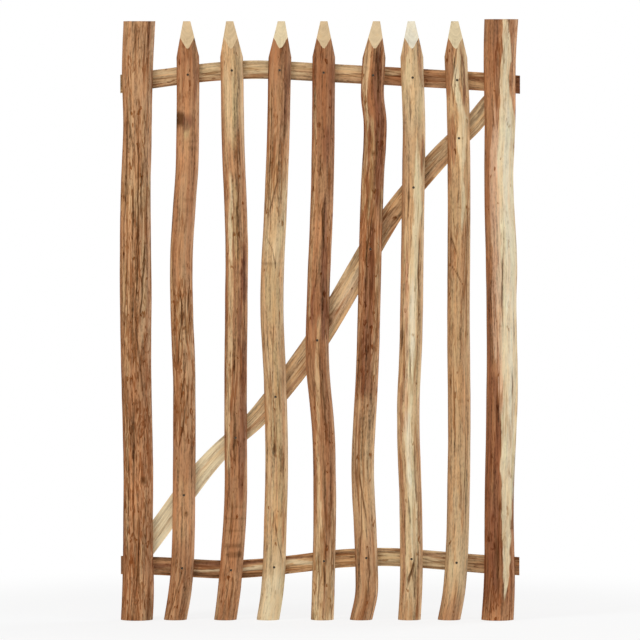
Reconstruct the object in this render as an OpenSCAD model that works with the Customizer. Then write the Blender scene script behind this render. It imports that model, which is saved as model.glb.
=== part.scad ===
// Picket gate of split poles: two stout end posts, seven pointed pickets, two rails and a
// diagonal brace behind them, held together by screws.
// Seen from the front, +X runs right and +Z up; the front faces -Y. Every pole is split in
// half lengthways: the posts and pickets lie with their flat backs on one upright plane, and
// the rails and the brace lie with their flat faces against it from behind.
// The origin is at the middle of the hinge post's sawn foot.

/* [Pickets] */
// Height of the pickets, from their feet to their tips
picket_h = 1500; // [900:5:1900]
// Width of a picket across its flat back
picket_w = 57; // [45:1:70]
// Depth of a picket, from its flat back to its crown
picket_d = 29; // [24:1:36]

/* [Posts] */
// How much higher the hinge post's sawn top is than the tips
hinge_post_rise = 0; // [-60:1:300]
// How much higher the latch post's sawn top is than the tips
latch_post_rise = 5; // [-60:1:300]
// Distance between the middles of the two posts
post_span = 911; // [750:1:1150]
// Width of a post across its flat back
post_w = 76; // [60:1:95]
// Depth of a post, from its flat back to its crown
post_d = 38; // [30:1:55]

/* [Pointed tips] */
// Width of the flat top that is left at the tip
tip_w = 18; // [8:1:24]
// Thickness of the wood that is left at the tip
tip_d = 6; // [4:0.5:12]
// Length of the two side cuts, down from the tip
side_cut_len = 90; // [60:1:130]
// Length of the sloping front cut, down from the tip
front_cut_len = 68; // [50:1:110]

/* [Rails] */
// How far the top rail lies below the tips, measured to its middle
top_rail_drop = 140; // [130:5:300]
// How far the bottom rail lies above the feet, measured to its middle
bottom_rail_z = 140; // [60:5:300]
// Width of a rail, measured upwards across its flat face
rail_w = 46; // [38:1:60]
// Depth of a rail, from its flat face to its crown
rail_d = 24; // [20:1:32]
// How far the rails' ends stand out past the hinge post's side
hinge_stub = 2; // [0:1:40]
// How far the rails' ends stand out past the latch post's side
latch_stub = 11; // [0:1:40]

/* [Brace] */
// Width of the brace across its flat face
brace_w = 50; // [40:1:60]
// Depth of the brace, from its flat face to its crown
brace_d = 24; // [20:1:32]
// How far the brace's head stops short of the latch post's middle
brace_head_in = 8; // [0:1:15]
// Smallest gap between a sawn end of the brace and the rail that it meets
brace_gap = 1; // [0.5:0.5:5]
// Distance along the brace from its end to the screw in the post
brace_screw_in = 25; // [20:1:35]

/* [Screws] */
// Diameter of a screw's shank
screw_d = 4; // [3:0.5:6]
// Diameter of a screw's head
head_d = 6; // [5:0.5:12]
// Thickness of a screw's head
head_t = 3; // [2:0.5:4]
// How far a screw's head lies below the crown of the wood
head_sink = 2; // [0.5:0.5:4]
// Length of a screw in the second piece of wood
screw_bite = 17; // [12:1:17]
// Gap all round a screw in its hole
hole_gap = 0.2; // [0.1:0.05:0.4]
// How far a hole runs on past its screw's end
hole_spare = 1; // [0.5:0.5:1.5]

/* [Hidden] */
// The screws and their holes are true cylinders
$fn = 24;

// Flat sides around a pole's round face, and lengths along it
SIDES = 14;
RINGS = 24;
// The upright plane that holds every pole's flat side
split_y = post_d / 2;
// Cuts reach this far past the wood, so that they leave no skin
past = 10;

// Each pole grew with its own bends. A bend is [place, shift, swell]: its place along the
// pole, from 0 at the start to 1 at the end, how far the middle has moved sideways from the
// straight line there, and how much wider the pole is than its nominal width.
PLACE = 0;
SHIFT = 1;
SWELL = 2;
HINGE_POST_BENDS = [
    [0, 0, 5], [0.05, 3, 4], [0.15, 3, -1], [0.25, 4, -1], [0.42, -1, 0], [0.55, -2, 4],
    [0.7, -2, 0], [0.83, 3, -4], [0.92, 3, 2], [1, 8, 4]
];
LATCH_POST_BENDS = [
    [0, -6, 5], [0.07, -1, 2], [0.2, -2, -3], [0.38, 5, 3], [0.53, 3, -1], [0.6, 3, 3],
    [0.73, -4, -3], [0.84, -1, 2], [0.93, -2, 5], [1, 2, 9]
];
PICKET_BENDS = [
    [[0, -22, 0], [0.03, -14, 1], [0.07, -6, 1], [0.15, -1, 0], [0.4, 1, 0], [0.5, -4, 0],
        [0.6, -6, 0], [0.68, 0, 0], [0.77, 9, 0], [0.93, 11, 0], [1, 8, 0]],
    [[0, -24, 0], [0.05, -14, 1], [0.12, -5, 1], [0.2, 2, 0], [0.4, 2, 0], [0.6, 5, 0],
        [0.7, 2, 0], [0.8, -4, 0], [0.93, -7, 0], [1, -12, 0]],
    [[0, -19, 0], [0.06, -6, 0], [0.15, -1, 0], [0.27, 3, 0], [0.4, -1, 0], [0.53, -9, 1],
        [0.7, 1, 0], [0.83, 8, 0], [0.93, 11, 0], [1, 15, 0]],
    [[0, -1, 0], [0.06, 2, 0], [0.2, 5, 0], [0.32, 1, 0], [0.43, -13, 1], [0.55, -11, 0],
        [0.7, -2, 0], [0.8, 1, 0], [1, 3, 0]],
    [[0, -22, 0], [0.04, -9, 0], [0.12, -10, 0], [0.26, -18, 0], [0.4, -8, 0], [0.5, -3, 0],
        [0.65, 2, 0], [0.77, 9, 0], [0.82, 14, 1], [0.88, 6, 1], [1, 16, 0]],
    [[0, -5, 0], [0.07, 0, 0], [0.2, -2, 0], [0.3, -7, 0], [0.38, -7, 0], [0.45, -2, 0],
        [0.7, 4, 0], [0.83, 6, 0], [0.93, 1, 0], [1, -1, 0]],
    [[0, -20, 0], [0.04, -9, 0], [0.12, 0, 0], [0.3, 5, 0], [0.5, 3, 0], [0.75, 4, 0],
        [0.87, 1, 0], [0.93, -4, 0], [1, -7, 0]]
];
TOP_RAIL_BENDS = [
    [0, -17, 0], [0.1, -3, 0], [0.22, 12, 0], [0.34, 19, 0], [0.5, 12, 0], [0.7, 1, 0],
    [0.9, -11, 0], [1, -19, 0]
];
BOTTOM_RAIL_BENDS = [
    [0, -3, 0], [0.1, -6, 0], [0.25, -14, 0], [0.35, -10, 0], [0.45, 1, 0], [0.55, 13, 0],
    [0.67, 17, 0], [0.79, 9, 0], [0.9, 0, 0], [1, -6, 0]
];
BRACE_BENDS = [
    [0, -3, 3], [0.05, -4, 3], [0.1, -1, 2], [0.17, 2, 3], [0.22, -1, -3], [0.3, -23, -1],
    [0.34, -28, 4], [0.45, -27, 9], [0.55, -12, 9], [0.6, -1, 9], [0.7, 20, 6], [0.74, 23, 1],
    [0.83, 20, 3], [0.87, 16, 2], [0.93, 2, -2], [1, 0, 1]
];
// Where each picket stands between the posts, as a share of the span. They were set by eye.
PICKET_PLACES = [0.13, 0.27, 0.382, 0.512, 0.642, 0.756, 0.882];

// Slope of a bend list at stop i, for its shift or its swell
function slope(bends, i, what) =
    let (a = bends[max(i - 1, 0)], b = bends[min(i + 1, len(bends) - 1)])
    (b[what] - a[what]) / (b[PLACE] - a[PLACE]);

// The stop that place t comes after
function stop_before(bends, t, i = 0) =
    i >= len(bends) - 2 || t < bends[i + 1][PLACE] ? i : stop_before(bends, t, i + 1);

// Shift or swell at a place, on a smooth curve through the stops
function smooth(bends, place, what) =
    let (
        t = min(max(place, 0), 1),
        i = stop_before(bends, t),
        p = bends[i],
        q = bends[i + 1],
        gap = q[PLACE] - p[PLACE],
        u = (t - p[PLACE]) / gap,
        v = 1 - u
    )
    p[what] * v * v * (1 + 2 * u) + q[what] * u * u * (1 + 2 * v)
    + gap * u * v * (slope(bends, i, what) * v - slope(bends, i + 1, what) * u);

// A pole is [start, end, bends, width, depth, facing]. Its start and end are [x, z], and its
// round face looks to the front or the rear.
START = 0;
END = 1;
BENDS = 2;
WIDTH = 3;
DEPTH = 4;
FACING = 5;
FRONT = -1;
REAR = 1;
function run_of(pole) = pole[END] - pole[START];
function sideways_of(pole) =
    let (way = run_of(pole) / norm(run_of(pole)))
    pole[FACING] * [-way.y, way.x];
function middle(pole, t) =
    pole[START] + t * run_of(pole) + smooth(pole[BENDS], t, SHIFT) * sideways_of(pole);
function width_at(pole, t) = pole[WIDTH] + smooth(pole[BENDS], t, SWELL);
function depth_at(pole, t) = pole[DEPTH] * width_at(pole, t) / pole[WIDTH];

// Place along an upright at height z, along a rail at x, and along any pole beside a spot
function place_up(pole, z) = (z - pole[START].y) / run_of(pole).y;
function place_along(pole, x) = (x - pole[START].x) / run_of(pole).x;
function place_beside(pole, spot) =
    (spot - pole[START]) * run_of(pole) / (run_of(pole) * run_of(pole));

// The point [x, z] where the middle of a bar crosses the middle of an upright
function crossing(upright, bar, t = 0.5, passes = 8) =
    let (
        at_bar = middle(bar, t),
        at_upright = middle(upright, place_up(upright, at_bar.y)),
        nearer = t + (at_upright.x - at_bar.x) / run_of(bar).x
    )
    passes == 0 ? at_bar : crossing(upright, bar, nearer, passes - 1);

// A rail's upper edge (side 1) or lower edge (side -1) at x
function rail_edge(rail, x, side) =
    let (t = place_along(rail, x))
    middle(rail, t).y + side * width_at(rail, t) / 2;

// The poles, from the driving sizes
function post_pole(x, rise, bends) =
    [[x, 0], [x, picket_h + rise], bends, post_w, post_d, FRONT];
hinge_post_pole = post_pole(0, hinge_post_rise, HINGE_POST_BENDS);
latch_post_pole = post_pole(post_span, latch_post_rise, LATCH_POST_BENDS);
function picket_pole(i) =
    let (x = post_span * PICKET_PLACES[i])
    [[x, 0], [x, picket_h], PICKET_BENDS[i], picket_w, picket_d, FRONT];
function rail_pole(z, bends) = [
    [-post_w / 2 - hinge_stub, z], [post_span + post_w / 2 + latch_stub, z],
    bends, rail_w, rail_d, REAR
];
top_rail_pole = rail_pole(picket_h - top_rail_drop, TOP_RAIL_BENDS);
bottom_rail_pole = rail_pole(bottom_rail_z, BOTTOM_RAIL_BENDS);

// The brace runs from the bottom rail behind the hinge post to the top rail behind the latch
// post. Its sawn ends clear the highest and lowest points of the rails over its own width.
brace_head_x = post_span - brace_head_in;
brace_foot_z = max([for (x = [-brace_w : brace_w / 2 : brace_w])
    rail_edge(bottom_rail_pole, x, 1)]) + brace_gap;
brace_head_z = min([for (x = [-brace_w : brace_w / 2 : brace_w])
    rail_edge(top_rail_pole, brace_head_x + x, -1)]) - brace_gap;
brace_pole = [
    [0, brace_foot_z], [brace_head_x, brace_head_z], BRACE_BENDS, brace_w, brace_d, REAR
];
brace_screw_place = brace_screw_in / norm(run_of(brace_pole));

// The nine uprights in order from the hinge side, the bars behind them, and the spots of the
// screws that hold each upright to each bar
UPRIGHTS = [hinge_post_pole, for (i = [0 : 6]) picket_pole(i), latch_post_pole];
BARS = [top_rail_pole, bottom_rail_pole, brace_pole];
LAST = len(UPRIGHTS) - 1;
function brace_spot(k) =
    k == 0 ? middle(brace_pole, brace_screw_place)
    : k == LAST ? middle(brace_pole, 1 - brace_screw_place)
    : crossing(UPRIGHTS[k], brace_pole);
function spots(k) = [
    crossing(UPRIGHTS[k], top_rail_pole), crossing(UPRIGHTS[k], bottom_rail_pole), brace_spot(k)
];
// A post is screwed from behind, through the bar, and a picket from the front
function is_post(k) = k == 0 || k == LAST;

// A half-round pole from place t0 to place t1, with flat sawn ends. Each ring of points runs
// over the round face from one edge of the flat side to the other.
module half_round(pole, t0 = 0, t1 = 1) {
    n = SIDES + 1;
    across = sideways_of(pole);
    points = [
        for (r = [0 : RINGS])
            let (
                t = t0 + (t1 - t0) * r / RINGS,
                m = middle(pole, t),
                half = width_at(pole, t) / 2
            )
            for (s = [0 : SIDES])
                let (
                    angle = 180 * s / SIDES,
                    off = half * cos(angle)
                )
                [
                    m.x + across.x * off,
                    split_y + pole[FACING] * depth_at(pole, t) * sin(angle),
                    m.y + across.y * off
                ]
    ];
    skin = [
        for (r = [0 : RINGS - 1], s = [0 : SIDES])
            let (next = (s + 1) % n)
            [r * n + next, (r + 1) * n + next, (r + 1) * n + s, r * n + s]
    ];
    first_end = [for (s = [SIDES : -1 : 0]) s];
    last_end = [for (s = [0 : SIDES]) RINGS * n + s];
    polyhedron(points, concat([first_end], skin, [last_end]));
}

// One screw with its head's underside at the origin and its tip up +Z. With slack it is the
// hole for that screw: a little wider, a little deeper and open above the head.
module screw(reach, slack = 0) {
    spare = slack > 0 ? hole_spare : 0;
    open = slack > 0 ? past : 0;
    translate([0, 0, -head_t - open])
        cylinder(d = head_d + 2 * slack, h = head_t + open);
    translate([0, 0, -head_t / 2])
        cylinder(d = screw_d + 2 * slack, h = head_t / 2 + reach + spare);
}

// The three screws of upright k, or with slack their holes
module screws(k, slack = 0) {
    for (b = [0 : len(BARS) - 1]) {
        spot = spots(k)[b];
        first = is_post(k) ? BARS[b] : UPRIGHTS[k];
        from = first[FACING];
        through = depth_at(first, place_beside(first, spot)) - head_sink - head_t;
        translate([spot.x, split_y + from * through, spot.y])
            rotate([90 * from, 0, 0])
                screw(through + screw_bite, slack);
    }
}

module post(pole, k, tone) {
    color(tone)
        difference() {
            half_round(pole);
            screws(k, hole_gap);
        }
}

// What the two side cuts and the front cut take off a picket. The side cuts end where they
// meet the pole's own sides.
module tip_cuts(pole) {
    shoulder_z = picket_h - side_cut_len;
    tip_x = middle(pole, 1).x;
    shoulder_x = middle(pole, place_up(pole, shoulder_z)).x;
    for (side = [-1, 1])
        translate([0, split_y + past, 0])
            rotate([90, 0, 0])
                linear_extrude(picket_d + 2 * past)
                    polygon([
                        [tip_x + side * tip_w / 2, picket_h],
                        [shoulder_x + side * picket_w / 2, shoulder_z],
                        [shoulder_x + side * picket_w, shoulder_z],
                        [shoulder_x + side * picket_w, picket_h + past],
                        [tip_x + side * tip_w / 2, picket_h + past]
                    ]);
    translate([tip_x - picket_w, split_y, 0])
        rotate([90, 0, 90])
            linear_extrude(2 * picket_w)
                polygon([
                    [-tip_d, picket_h],
                    [-picket_d, picket_h - front_cut_len],
                    [-picket_d - past, picket_h - front_cut_len],
                    [-picket_d - past, picket_h + past],
                    [-tip_d, picket_h + past]
                ]);
}

module picket(i, tone) {
    color(tone)
        difference() {
            half_round(picket_pole(i));
            tip_cuts(picket_pole(i));
            screws(i + 1, hole_gap);
        }
}

module rail(pole, tone) {
    color(tone)
        difference() {
            half_round(pole);
            for (k = [0 : LAST])
                screws(k, hole_gap);
        }
}

// The brace is made too long and sawn level at both ends
module brace() {
    spare = 2 * brace_w / norm(run_of(brace_pole));
    saw = 4 * brace_w;
    color("tan")
        difference() {
            half_round(brace_pole, -spare, 1 + spare);
            translate([-saw / 2, split_y - past, brace_foot_z - saw])
                cube([saw, brace_d + 2 * past, saw]);
            translate([brace_head_x - saw / 2, split_y - past, brace_head_z])
                cube([saw, brace_d + 2 * past, saw]);
            for (k = [0 : LAST])
                screws(k, hole_gap);
        }
}

module steel_screws(k) {
    color("dimgray")
        screws(k);
}

post(hinge_post_pole, 0, "sienna");  // hinge_post
post(latch_post_pole, LAST, "rosybrown");  // latch_post
picket(0, "peru");  // picket_1
picket(1, "darkkhaki");  // picket_2
picket(2, "peru");  // picket_3
picket(3, "sienna");  // picket_4
picket(4, "peru");  // picket_5
picket(5, "burlywood");  // picket_6
picket(6, "tan");  // picket_7
rail(top_rail_pole, "tan");  // top_rail
rail(bottom_rail_pole, "saddlebrown");  // bottom_rail
brace();
steel_screws(0);  // hinge_post_screws
steel_screws(LAST);  // latch_post_screws
steel_screws(1);  // picket_1_screws
steel_screws(2);  // picket_2_screws
steel_screws(3);  // picket_3_screws
steel_screws(4);  // picket_4_screws
steel_screws(5);  // picket_5_screws
steel_screws(6);  // picket_6_screws
steel_screws(7);  // picket_7_screws
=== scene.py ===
"""Picket gate of split poles: the looks of the wood, the screws and the studio round it."""

import math
from collections import namedtuple

import bmesh
import bpy
import numpy as np
from bpy.props import FloatProperty, FloatVectorProperty, IntProperty, PointerProperty
from bpy.types import Operator, Panel, PropertyGroup
from mathutils import Matrix, Vector
from mathutils.bvhtree import BVHTree


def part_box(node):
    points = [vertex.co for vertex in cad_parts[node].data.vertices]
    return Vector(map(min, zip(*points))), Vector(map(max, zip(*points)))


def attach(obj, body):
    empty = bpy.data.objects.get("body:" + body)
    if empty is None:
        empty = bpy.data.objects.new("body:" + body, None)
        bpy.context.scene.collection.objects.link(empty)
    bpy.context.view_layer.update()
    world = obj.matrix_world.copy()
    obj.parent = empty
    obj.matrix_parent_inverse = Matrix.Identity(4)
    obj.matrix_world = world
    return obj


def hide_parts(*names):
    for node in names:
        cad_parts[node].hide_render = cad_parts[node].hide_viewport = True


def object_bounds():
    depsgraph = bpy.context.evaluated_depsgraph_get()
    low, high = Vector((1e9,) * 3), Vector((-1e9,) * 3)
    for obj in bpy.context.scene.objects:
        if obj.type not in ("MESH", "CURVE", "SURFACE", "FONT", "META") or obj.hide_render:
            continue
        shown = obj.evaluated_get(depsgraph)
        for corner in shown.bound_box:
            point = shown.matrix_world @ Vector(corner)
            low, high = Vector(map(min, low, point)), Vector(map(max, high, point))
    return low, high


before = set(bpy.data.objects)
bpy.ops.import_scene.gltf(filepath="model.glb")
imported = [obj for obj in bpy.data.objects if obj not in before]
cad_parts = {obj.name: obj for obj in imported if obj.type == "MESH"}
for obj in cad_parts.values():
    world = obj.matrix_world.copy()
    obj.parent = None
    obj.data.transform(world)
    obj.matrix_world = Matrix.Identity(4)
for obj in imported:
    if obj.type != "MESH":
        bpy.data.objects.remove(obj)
CAD_BOX = [list(corner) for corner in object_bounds()]

bl_info = {
    "name": "Split pole picket gate",
    "version": (1, 0, 0),
    "blender": (4, 5, 0),
    "location": "View3D > Sidebar > Picket Gate",
    "description": "Builds a garden gate of split poles, with its screws and a plain studio",
    "category": "Object",
}

MM = 0.001
BODY = "root"
PEELED, SPLIT, SAWN = 0, 1, 2
INSET = 0.5 * MM        # how far inside a pole's sawn ends its edges are looked for
SKIM = 0.4 * MM         # how far over a pole's flat side its edges are looked for
CLEAR = 0.2             # a distance that is well outside any pole's side
STOPS = 25              # at how many places along a pole its edges are looked for


# ---------------------------------------------------------------- sizes and colours


def size_property(name, description, default, low, high):
    """A size in millimetres for the sidebar."""
    return FloatProperty(name=name, description=description, default=default * MM,
                         min=low * MM, max=high * MM, unit="LENGTH")


def power_property(name, description, default):
    """A lamp's power in watts for the sidebar."""
    return FloatProperty(name=name, description=description, default=default,
                         min=0, max=5000, unit="POWER")


class GatePoleSettings(PropertyGroup):
    """How finely the poles are made, and how rough their wood is."""

    ring_gap: size_property(
        "Ring gap", "Distance between two rings of points along a pole", 5, 2, 20)
    round_points: IntProperty(
        name="Points over the round face", default=68, min=20, max=120,
        description="How many points go over a pole's round face")
    flat_points: IntProperty(
        name="Points over the flat face", default=24, min=6, max=60,
        description="How many points go over a pole's flat face")
    lump_height: size_property(
        "Lump height", "Height of the lumps that a pole's round face has", 1.0, 0, 4)
    furrow_depth: size_property(
        "Furrow depth", "Depth of the deepest furrows along the wood", 1.6, 0, 4)
    fibre_height: size_property(
        "Fibre height", "Height of the fine fibres along the wood", 0.25, 0, 1)
    tear_depth: size_property(
        "Tear depth", "How deep the split tore the wood of the flat face", 0.9, 0, 3)


class GateTipSettings(PropertyGroup):
    """The cuts that point a picket."""

    thickness: size_property(
        "Tip thickness", "Thickness of the wood that is left at the tip", 6, 4, 12)
    side_cut: size_property(
        "Side cut length", "Length of the two side cuts, down from the tip", 90, 60, 130)
    front_cut: size_property(
        "Front cut length", "Length of the sloping front cut, down from the tip", 68, 50, 110)


class GateScrewSettings(PropertyGroup):
    """The screws and the holes that they lie in."""

    hole_gap: size_property(
        "Hole gap", "Gap all round a screw in its hole", 0.2, 0.1, 0.4)
    recess_width: size_property(
        "Recess width", "Width of the cross recess in a screw's head", 3.6, 2, 5)
    recess_depth: size_property(
        "Recess depth", "Depth of the cross recess in a screw's head", 1.6, 0.5, 2.5)
    colour: FloatVectorProperty(
        name="Screw colour", description="Colour of the screws' dull coating",
        default=(0.12, 0.09, 0.065), size=3, min=0, max=1, subtype="COLOR")


class GateStageSettings(PropertyGroup):
    """The camera, the lamps and the floor."""

    camera_distance: FloatProperty(
        name="Camera distance", description="Distance of the camera in front of the gate",
        default=16.0, min=4, max=40, unit="LENGTH")
    camera_height: FloatProperty(
        name="Camera height", description="Height of the camera over the floor",
        default=1.42, min=0.1, max=4, unit="LENGTH")
    view_width: FloatProperty(
        name="View width", description="Width that the camera sees at the gate",
        default=1.6, min=0.5, max=6, unit="LENGTH")
    key_power: power_property(
        "Key lamp power", "Power of the large soft lamp at the front left", 126)
    fill_power: power_property(
        "Fill lamp power", "Power of the soft lamp at the front right", 44)
    back_power: power_property(
        "Back lamp power", "Power of the soft lamp behind the gate", 105)
    room_light: FloatProperty(
        name="Room light", description="Strength of the even light from all round",
        default=0.42, min=0, max=2)
    floor_shade: FloatProperty(
        name="Floor shade", description="How much of the floor's colour follows the light on it",
        default=0.2, min=0, max=1, subtype="FACTOR")


# ---------------------------------------------------------------- writing node trees


class Wire:
    """An output socket of a node tree. Python arithmetic on it adds Math nodes."""

    def __init__(self, tree, socket):
        self.tree = tree
        self.socket = socket
        self.is_vector = socket.type in {"VECTOR", "RGBA"}

    def _with(self, operation, *values):
        vector = any(v.is_vector if isinstance(v, Wire) else not np.isscalar(v) for v in values)
        kind = "ShaderNodeVectorMath" if vector else "ShaderNodeMath"
        return self.tree.add(kind, {"operation": operation}, dict(enumerate(values)))[0]

    def part(self, name):
        """The X, Y or Z of a vector."""
        return self.tree.add("ShaderNodeSeparateXYZ", {}, {0: self})[name]

    def ease(self, low, high):
        """Rises smoothly from 0 where this is low to 1 where it is high. High may be the lower."""
        return self.tree.add(
            "ShaderNodeMapRange", {"interpolation_type": "SMOOTHSTEP"},
            {"Value": self, "From Min": low, "From Max": high})["Result"]


def wire_method(operation, swapped=False):
    """A method of Wire that adds a Math node. Its values are swapped for 2 - wire and the like."""
    def method(self, *others):
        values = (self, *others)
        return self._with(operation, *(values[::-1] if swapped else values))
    return method


for sign, operation in (("add", "ADD"), ("sub", "SUBTRACT"), ("mul", "MULTIPLY"),
                        ("truediv", "DIVIDE")):
    setattr(Wire, f"__{sign}__", wire_method(operation))
    setattr(Wire, f"__r{sign}__", wire_method(operation, swapped=True))
for method_name, operation in (
        ("__abs__", "ABSOLUTE"), ("__lt__", "LESS_THAN"), ("__gt__", "GREATER_THAN"),
        ("sine", "SINE"), ("cosine", "COSINE"), ("root", "SQRT"), ("smallest", "MINIMUM"),
        ("largest", "MAXIMUM")):
    setattr(Wire, method_name, wire_method(operation))


class Node:
    """A node of a tree, whose outputs are taken by name or place."""

    def __init__(self, tree, node):
        self.tree = tree
        self.node = node

    def __getitem__(self, key):
        return Wire(self.tree, pick(self.node.outputs, key))


def pick(sockets, key):
    """The socket with a name, or at a place, among those that are in use."""
    if isinstance(key, str):
        return next(s for s in sockets if s.name == key and s.enabled)
    return [s for s in sockets if s.enabled][key]


def widened(value, kind):
    """A number or a colour, as long as a vector or a colour socket takes it."""
    if kind == "VECTOR" and np.isscalar(value):
        return (value,) * 3
    if kind == "RGBA":
        return ((value,) * 3 if np.isscalar(value) else tuple(value)[:3]) + (1.0,)
    return value


class Tree:
    """A node tree that is being written."""

    def __init__(self, nodes):
        self.nodes = nodes

    def add(self, kind, settings=None, sockets=None):
        """Adds a node of a type, with its settings first and then its sockets' values or links."""
        node = self.nodes.nodes.new(kind)
        for name, value in (settings or {}).items():
            setattr(node, name, value)
        for key, value in (sockets or {}).items():
            socket = pick(node.inputs, key)
            if isinstance(value, Node):
                value = value[0]
            if isinstance(value, Wire):
                self.nodes.links.new(value.socket, socket)
            elif value is not None:
                socket.default_value = widened(value, socket.type)
        return Node(self, node)

    def named(self, name, data_type):
        """A named attribute, in a geometry tree."""
        return self.add(
            "GeometryNodeInputNamedAttribute", {"data_type": data_type}, {"Name": name})[0]

    def stored(self, geometry, name, data_type, value):
        """The geometry with a named attribute stored on its points."""
        return self.add(
            "GeometryNodeStoreNamedAttribute", {"data_type": data_type, "domain": "POINT"},
            {"Geometry": geometry, "Name": name, "Value": value})

    def vector(self, x, y, z):
        return self.add("ShaderNodeCombineXYZ", {}, {"X": x, "Y": y, "Z": z})[0]

    def noise(self, at, detail=2.0, roughness=0.5, distortion=0.0):
        """Noise about 0.5, whose lumps are about 1 across."""
        return self.add("ShaderNodeTexNoise", {}, {
            "Vector": at, "Scale": 1.0, "Detail": detail, "Roughness": roughness,
            "Distortion": distortion})["Fac"]

    def blend(self, share, a, b):
        """Number a, going over to number b where share is 1."""
        return a + (b - a) * share

    def mix(self, share, a, b):
        """Colour a, going over to colour b where share is 1."""
        return self.add("ShaderNodeMix", {"data_type": "RGBA"},
                        {"Factor": share, "A": a, "B": b})["Result"]

    def toned(self, colour, share, times):
        """A colour that is multiplied by another where share is 1."""
        return self.mix(share, colour, colour * times)

    def instances(self, points, instance, rotation, scale=None):
        """A copy of a geometry at every point."""
        return self.add("GeometryNodeInstanceOnPoints", {}, {
            "Points": points, "Instance": instance, "Rotation": rotation, "Scale": scale})


def new_geometry_tree(name, inputs):
    """An empty geometry tree with inputs of each kind. Returns it with a wire for each input."""
    nodes = bpy.data.node_groups.new(name, "GeometryNodeTree")
    nodes.interface.new_socket("Geometry", in_out="OUTPUT", socket_type="NodeSocketGeometry")
    inputs = {"Geometry": ["Geometry"], **inputs}
    for kind, titles in inputs.items():
        for title in titles:
            nodes.interface.new_socket(title, in_out="INPUT", socket_type="NodeSocket" + kind)
    tree = Tree(nodes)
    start = tree.add("NodeGroupInput")
    return tree, {title: start[title] for titles in inputs.values() for title in titles}


def linked(obj):
    """The object, put into the scene."""
    bpy.context.scene.collection.objects.link(obj)
    return obj


def finished_mesh(obj):
    """The plain mesh of an object with its modifiers done."""
    depsgraph = bpy.context.evaluated_depsgraph_get()
    return bpy.data.meshes.new_from_object(obj.evaluated_get(depsgraph))


def run_geometry_tree(obj, nodes, values, name):
    """The plain mesh that a geometry tree makes of an object."""
    modifier = obj.modifiers.new("Nodes", "NODES")
    modifier.node_group = nodes
    for item in nodes.interface.items_tree:
        if item.in_out == "INPUT" and item.name in values:
            modifier[item.identifier] = values[item.name]
    mesh = finished_mesh(obj)
    mesh.name = name
    obj.modifiers.remove(modifier)
    return mesh


def set_materials(tree, geometry, choices):
    """Ends a tree: Realize Instances, and a Set Material for each material and its faces."""
    geometry = tree.add("GeometryNodeRealizeInstances", {}, {"Geometry": geometry})
    for material, selection in choices:
        geometry = tree.add("GeometryNodeSetMaterial", {}, {
            "Geometry": geometry, "Material": material, "Selection": selection})
    tree.add("NodeGroupOutput", {}, {"Geometry": geometry})


# ---------------------------------------------------------------- how wood grows


Feature = namedtuple("Feature", "across along detail roughness distortion begin",
                     defaults=(2.0, 0.5, 0.0, None))
# The noise that each feature of the wood follows: how large its lumps are across and along the
# fibres, in metres, how fine and wavy it is, and where in the noise it begins.
FEATURES = {
    "lump": Feature(0.05, 0.13, 1.5),
    "fibre": Feature(0.0032, 0.10, 1.0),
    "furrow": Feature(0.020, 0.26, 2.0, 0.5, 0.15),
    "furrow_place": Feature(0.030, 0.07, 1.0),
    "tear": Feature(0.011, 0.16, 2.0, 0.5, 0.3),
    "torn_fibre": Feature(0.003, 0.05, 1.0),
    "ring_sway": Feature(0.05, 0.16),
    "slit": Feature(0.0070, 0.034, 1.5, 0.5, 0.3),
    "slit_place": Feature(0.014, 0.028, 1.0),
    "dash": Feature(0.0042, 0.042, 0.6, 0.5, 0.4),
    "dash_place": Feature(0.020, 0.080, 1.0, begin=(5, 2, 9)),
    "band": Feature(0.0105, 0.34, 2.0, 0.5, 0.3),
    "strand": Feature(0.0055, 0.19, 2.0, 0.55, 0.3),
    "fine_strand": Feature(0.0028, 0.045, 1.5, 0.55),
    "speck": Feature(0.0030, 0.0085, 1.0, begin=(4, 6, 1)),
    "warmth": Feature(0.012, 0.11, begin=(7, 3, 5)),
    "sawn_fibre": Feature(0.0016, 0.012, 2.0, 0.6),
}


def grown(tree, grain, feature):
    """The noise of a feature, about 0.5, at the wood's own place."""
    at = grain * (1 / feature.across, 1 / feature.across, 1 / feature.along)
    return tree.noise(at + feature.begin if feature.begin else at,
                      feature.detail, feature.roughness, feature.distortion)


def furrows(tree, grain):
    """1 at the bottom of the long furrows that weather cuts along the fibres, and 0 between."""
    across = abs(grown(tree, grain, FEATURES["furrow"]) - 0.5)
    place = grown(tree, grain, FEATURES["furrow_place"])
    return across.ease(0.045, 0.004) * place.ease(0.36, 0.50)


def tears(tree, grain):
    """How deep the split tore the flat face, from 0 to 1."""
    return grown(tree, grain, FEATURES["tear"]).ease(0.35, 0.70)


# ---------------------------------------------------------------- the poles in the frame


def smooth(values, place):
    """The value at each place, from 0 to 1, on a smooth curve through evenly spaced values.

    Beyond its ends the curve runs straight on.
    """
    last = len(values) - 1
    asked = np.asarray(place, float) * last
    at = np.clip(asked, 0, last)
    i = np.minimum(at.astype(int), last - 1)
    u = at - i
    ends = np.concatenate([[2 * values[0] - values[1]], values, [2 * values[-1] - values[-2]]])
    a, b, c, d = ends[i], ends[i + 1], ends[i + 2], ends[i + 3]
    curve = b + 0.5 * u * (c - a + u * (2 * a - 5 * b + 4 * c - d + u * (3 * (b - c) + d - a)))
    slope = np.where(asked < 0, values[1] - values[0], values[-1] - values[-2])
    return curve + (asked - at) * slope


def surface(node):
    """The frame's shape of a node, for rays to hit."""
    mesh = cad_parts[node].data
    return BVHTree.FromPolygons(
        [v.co for v in mesh.vertices], [tuple(p.vertices) for p in mesh.polygons])


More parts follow.
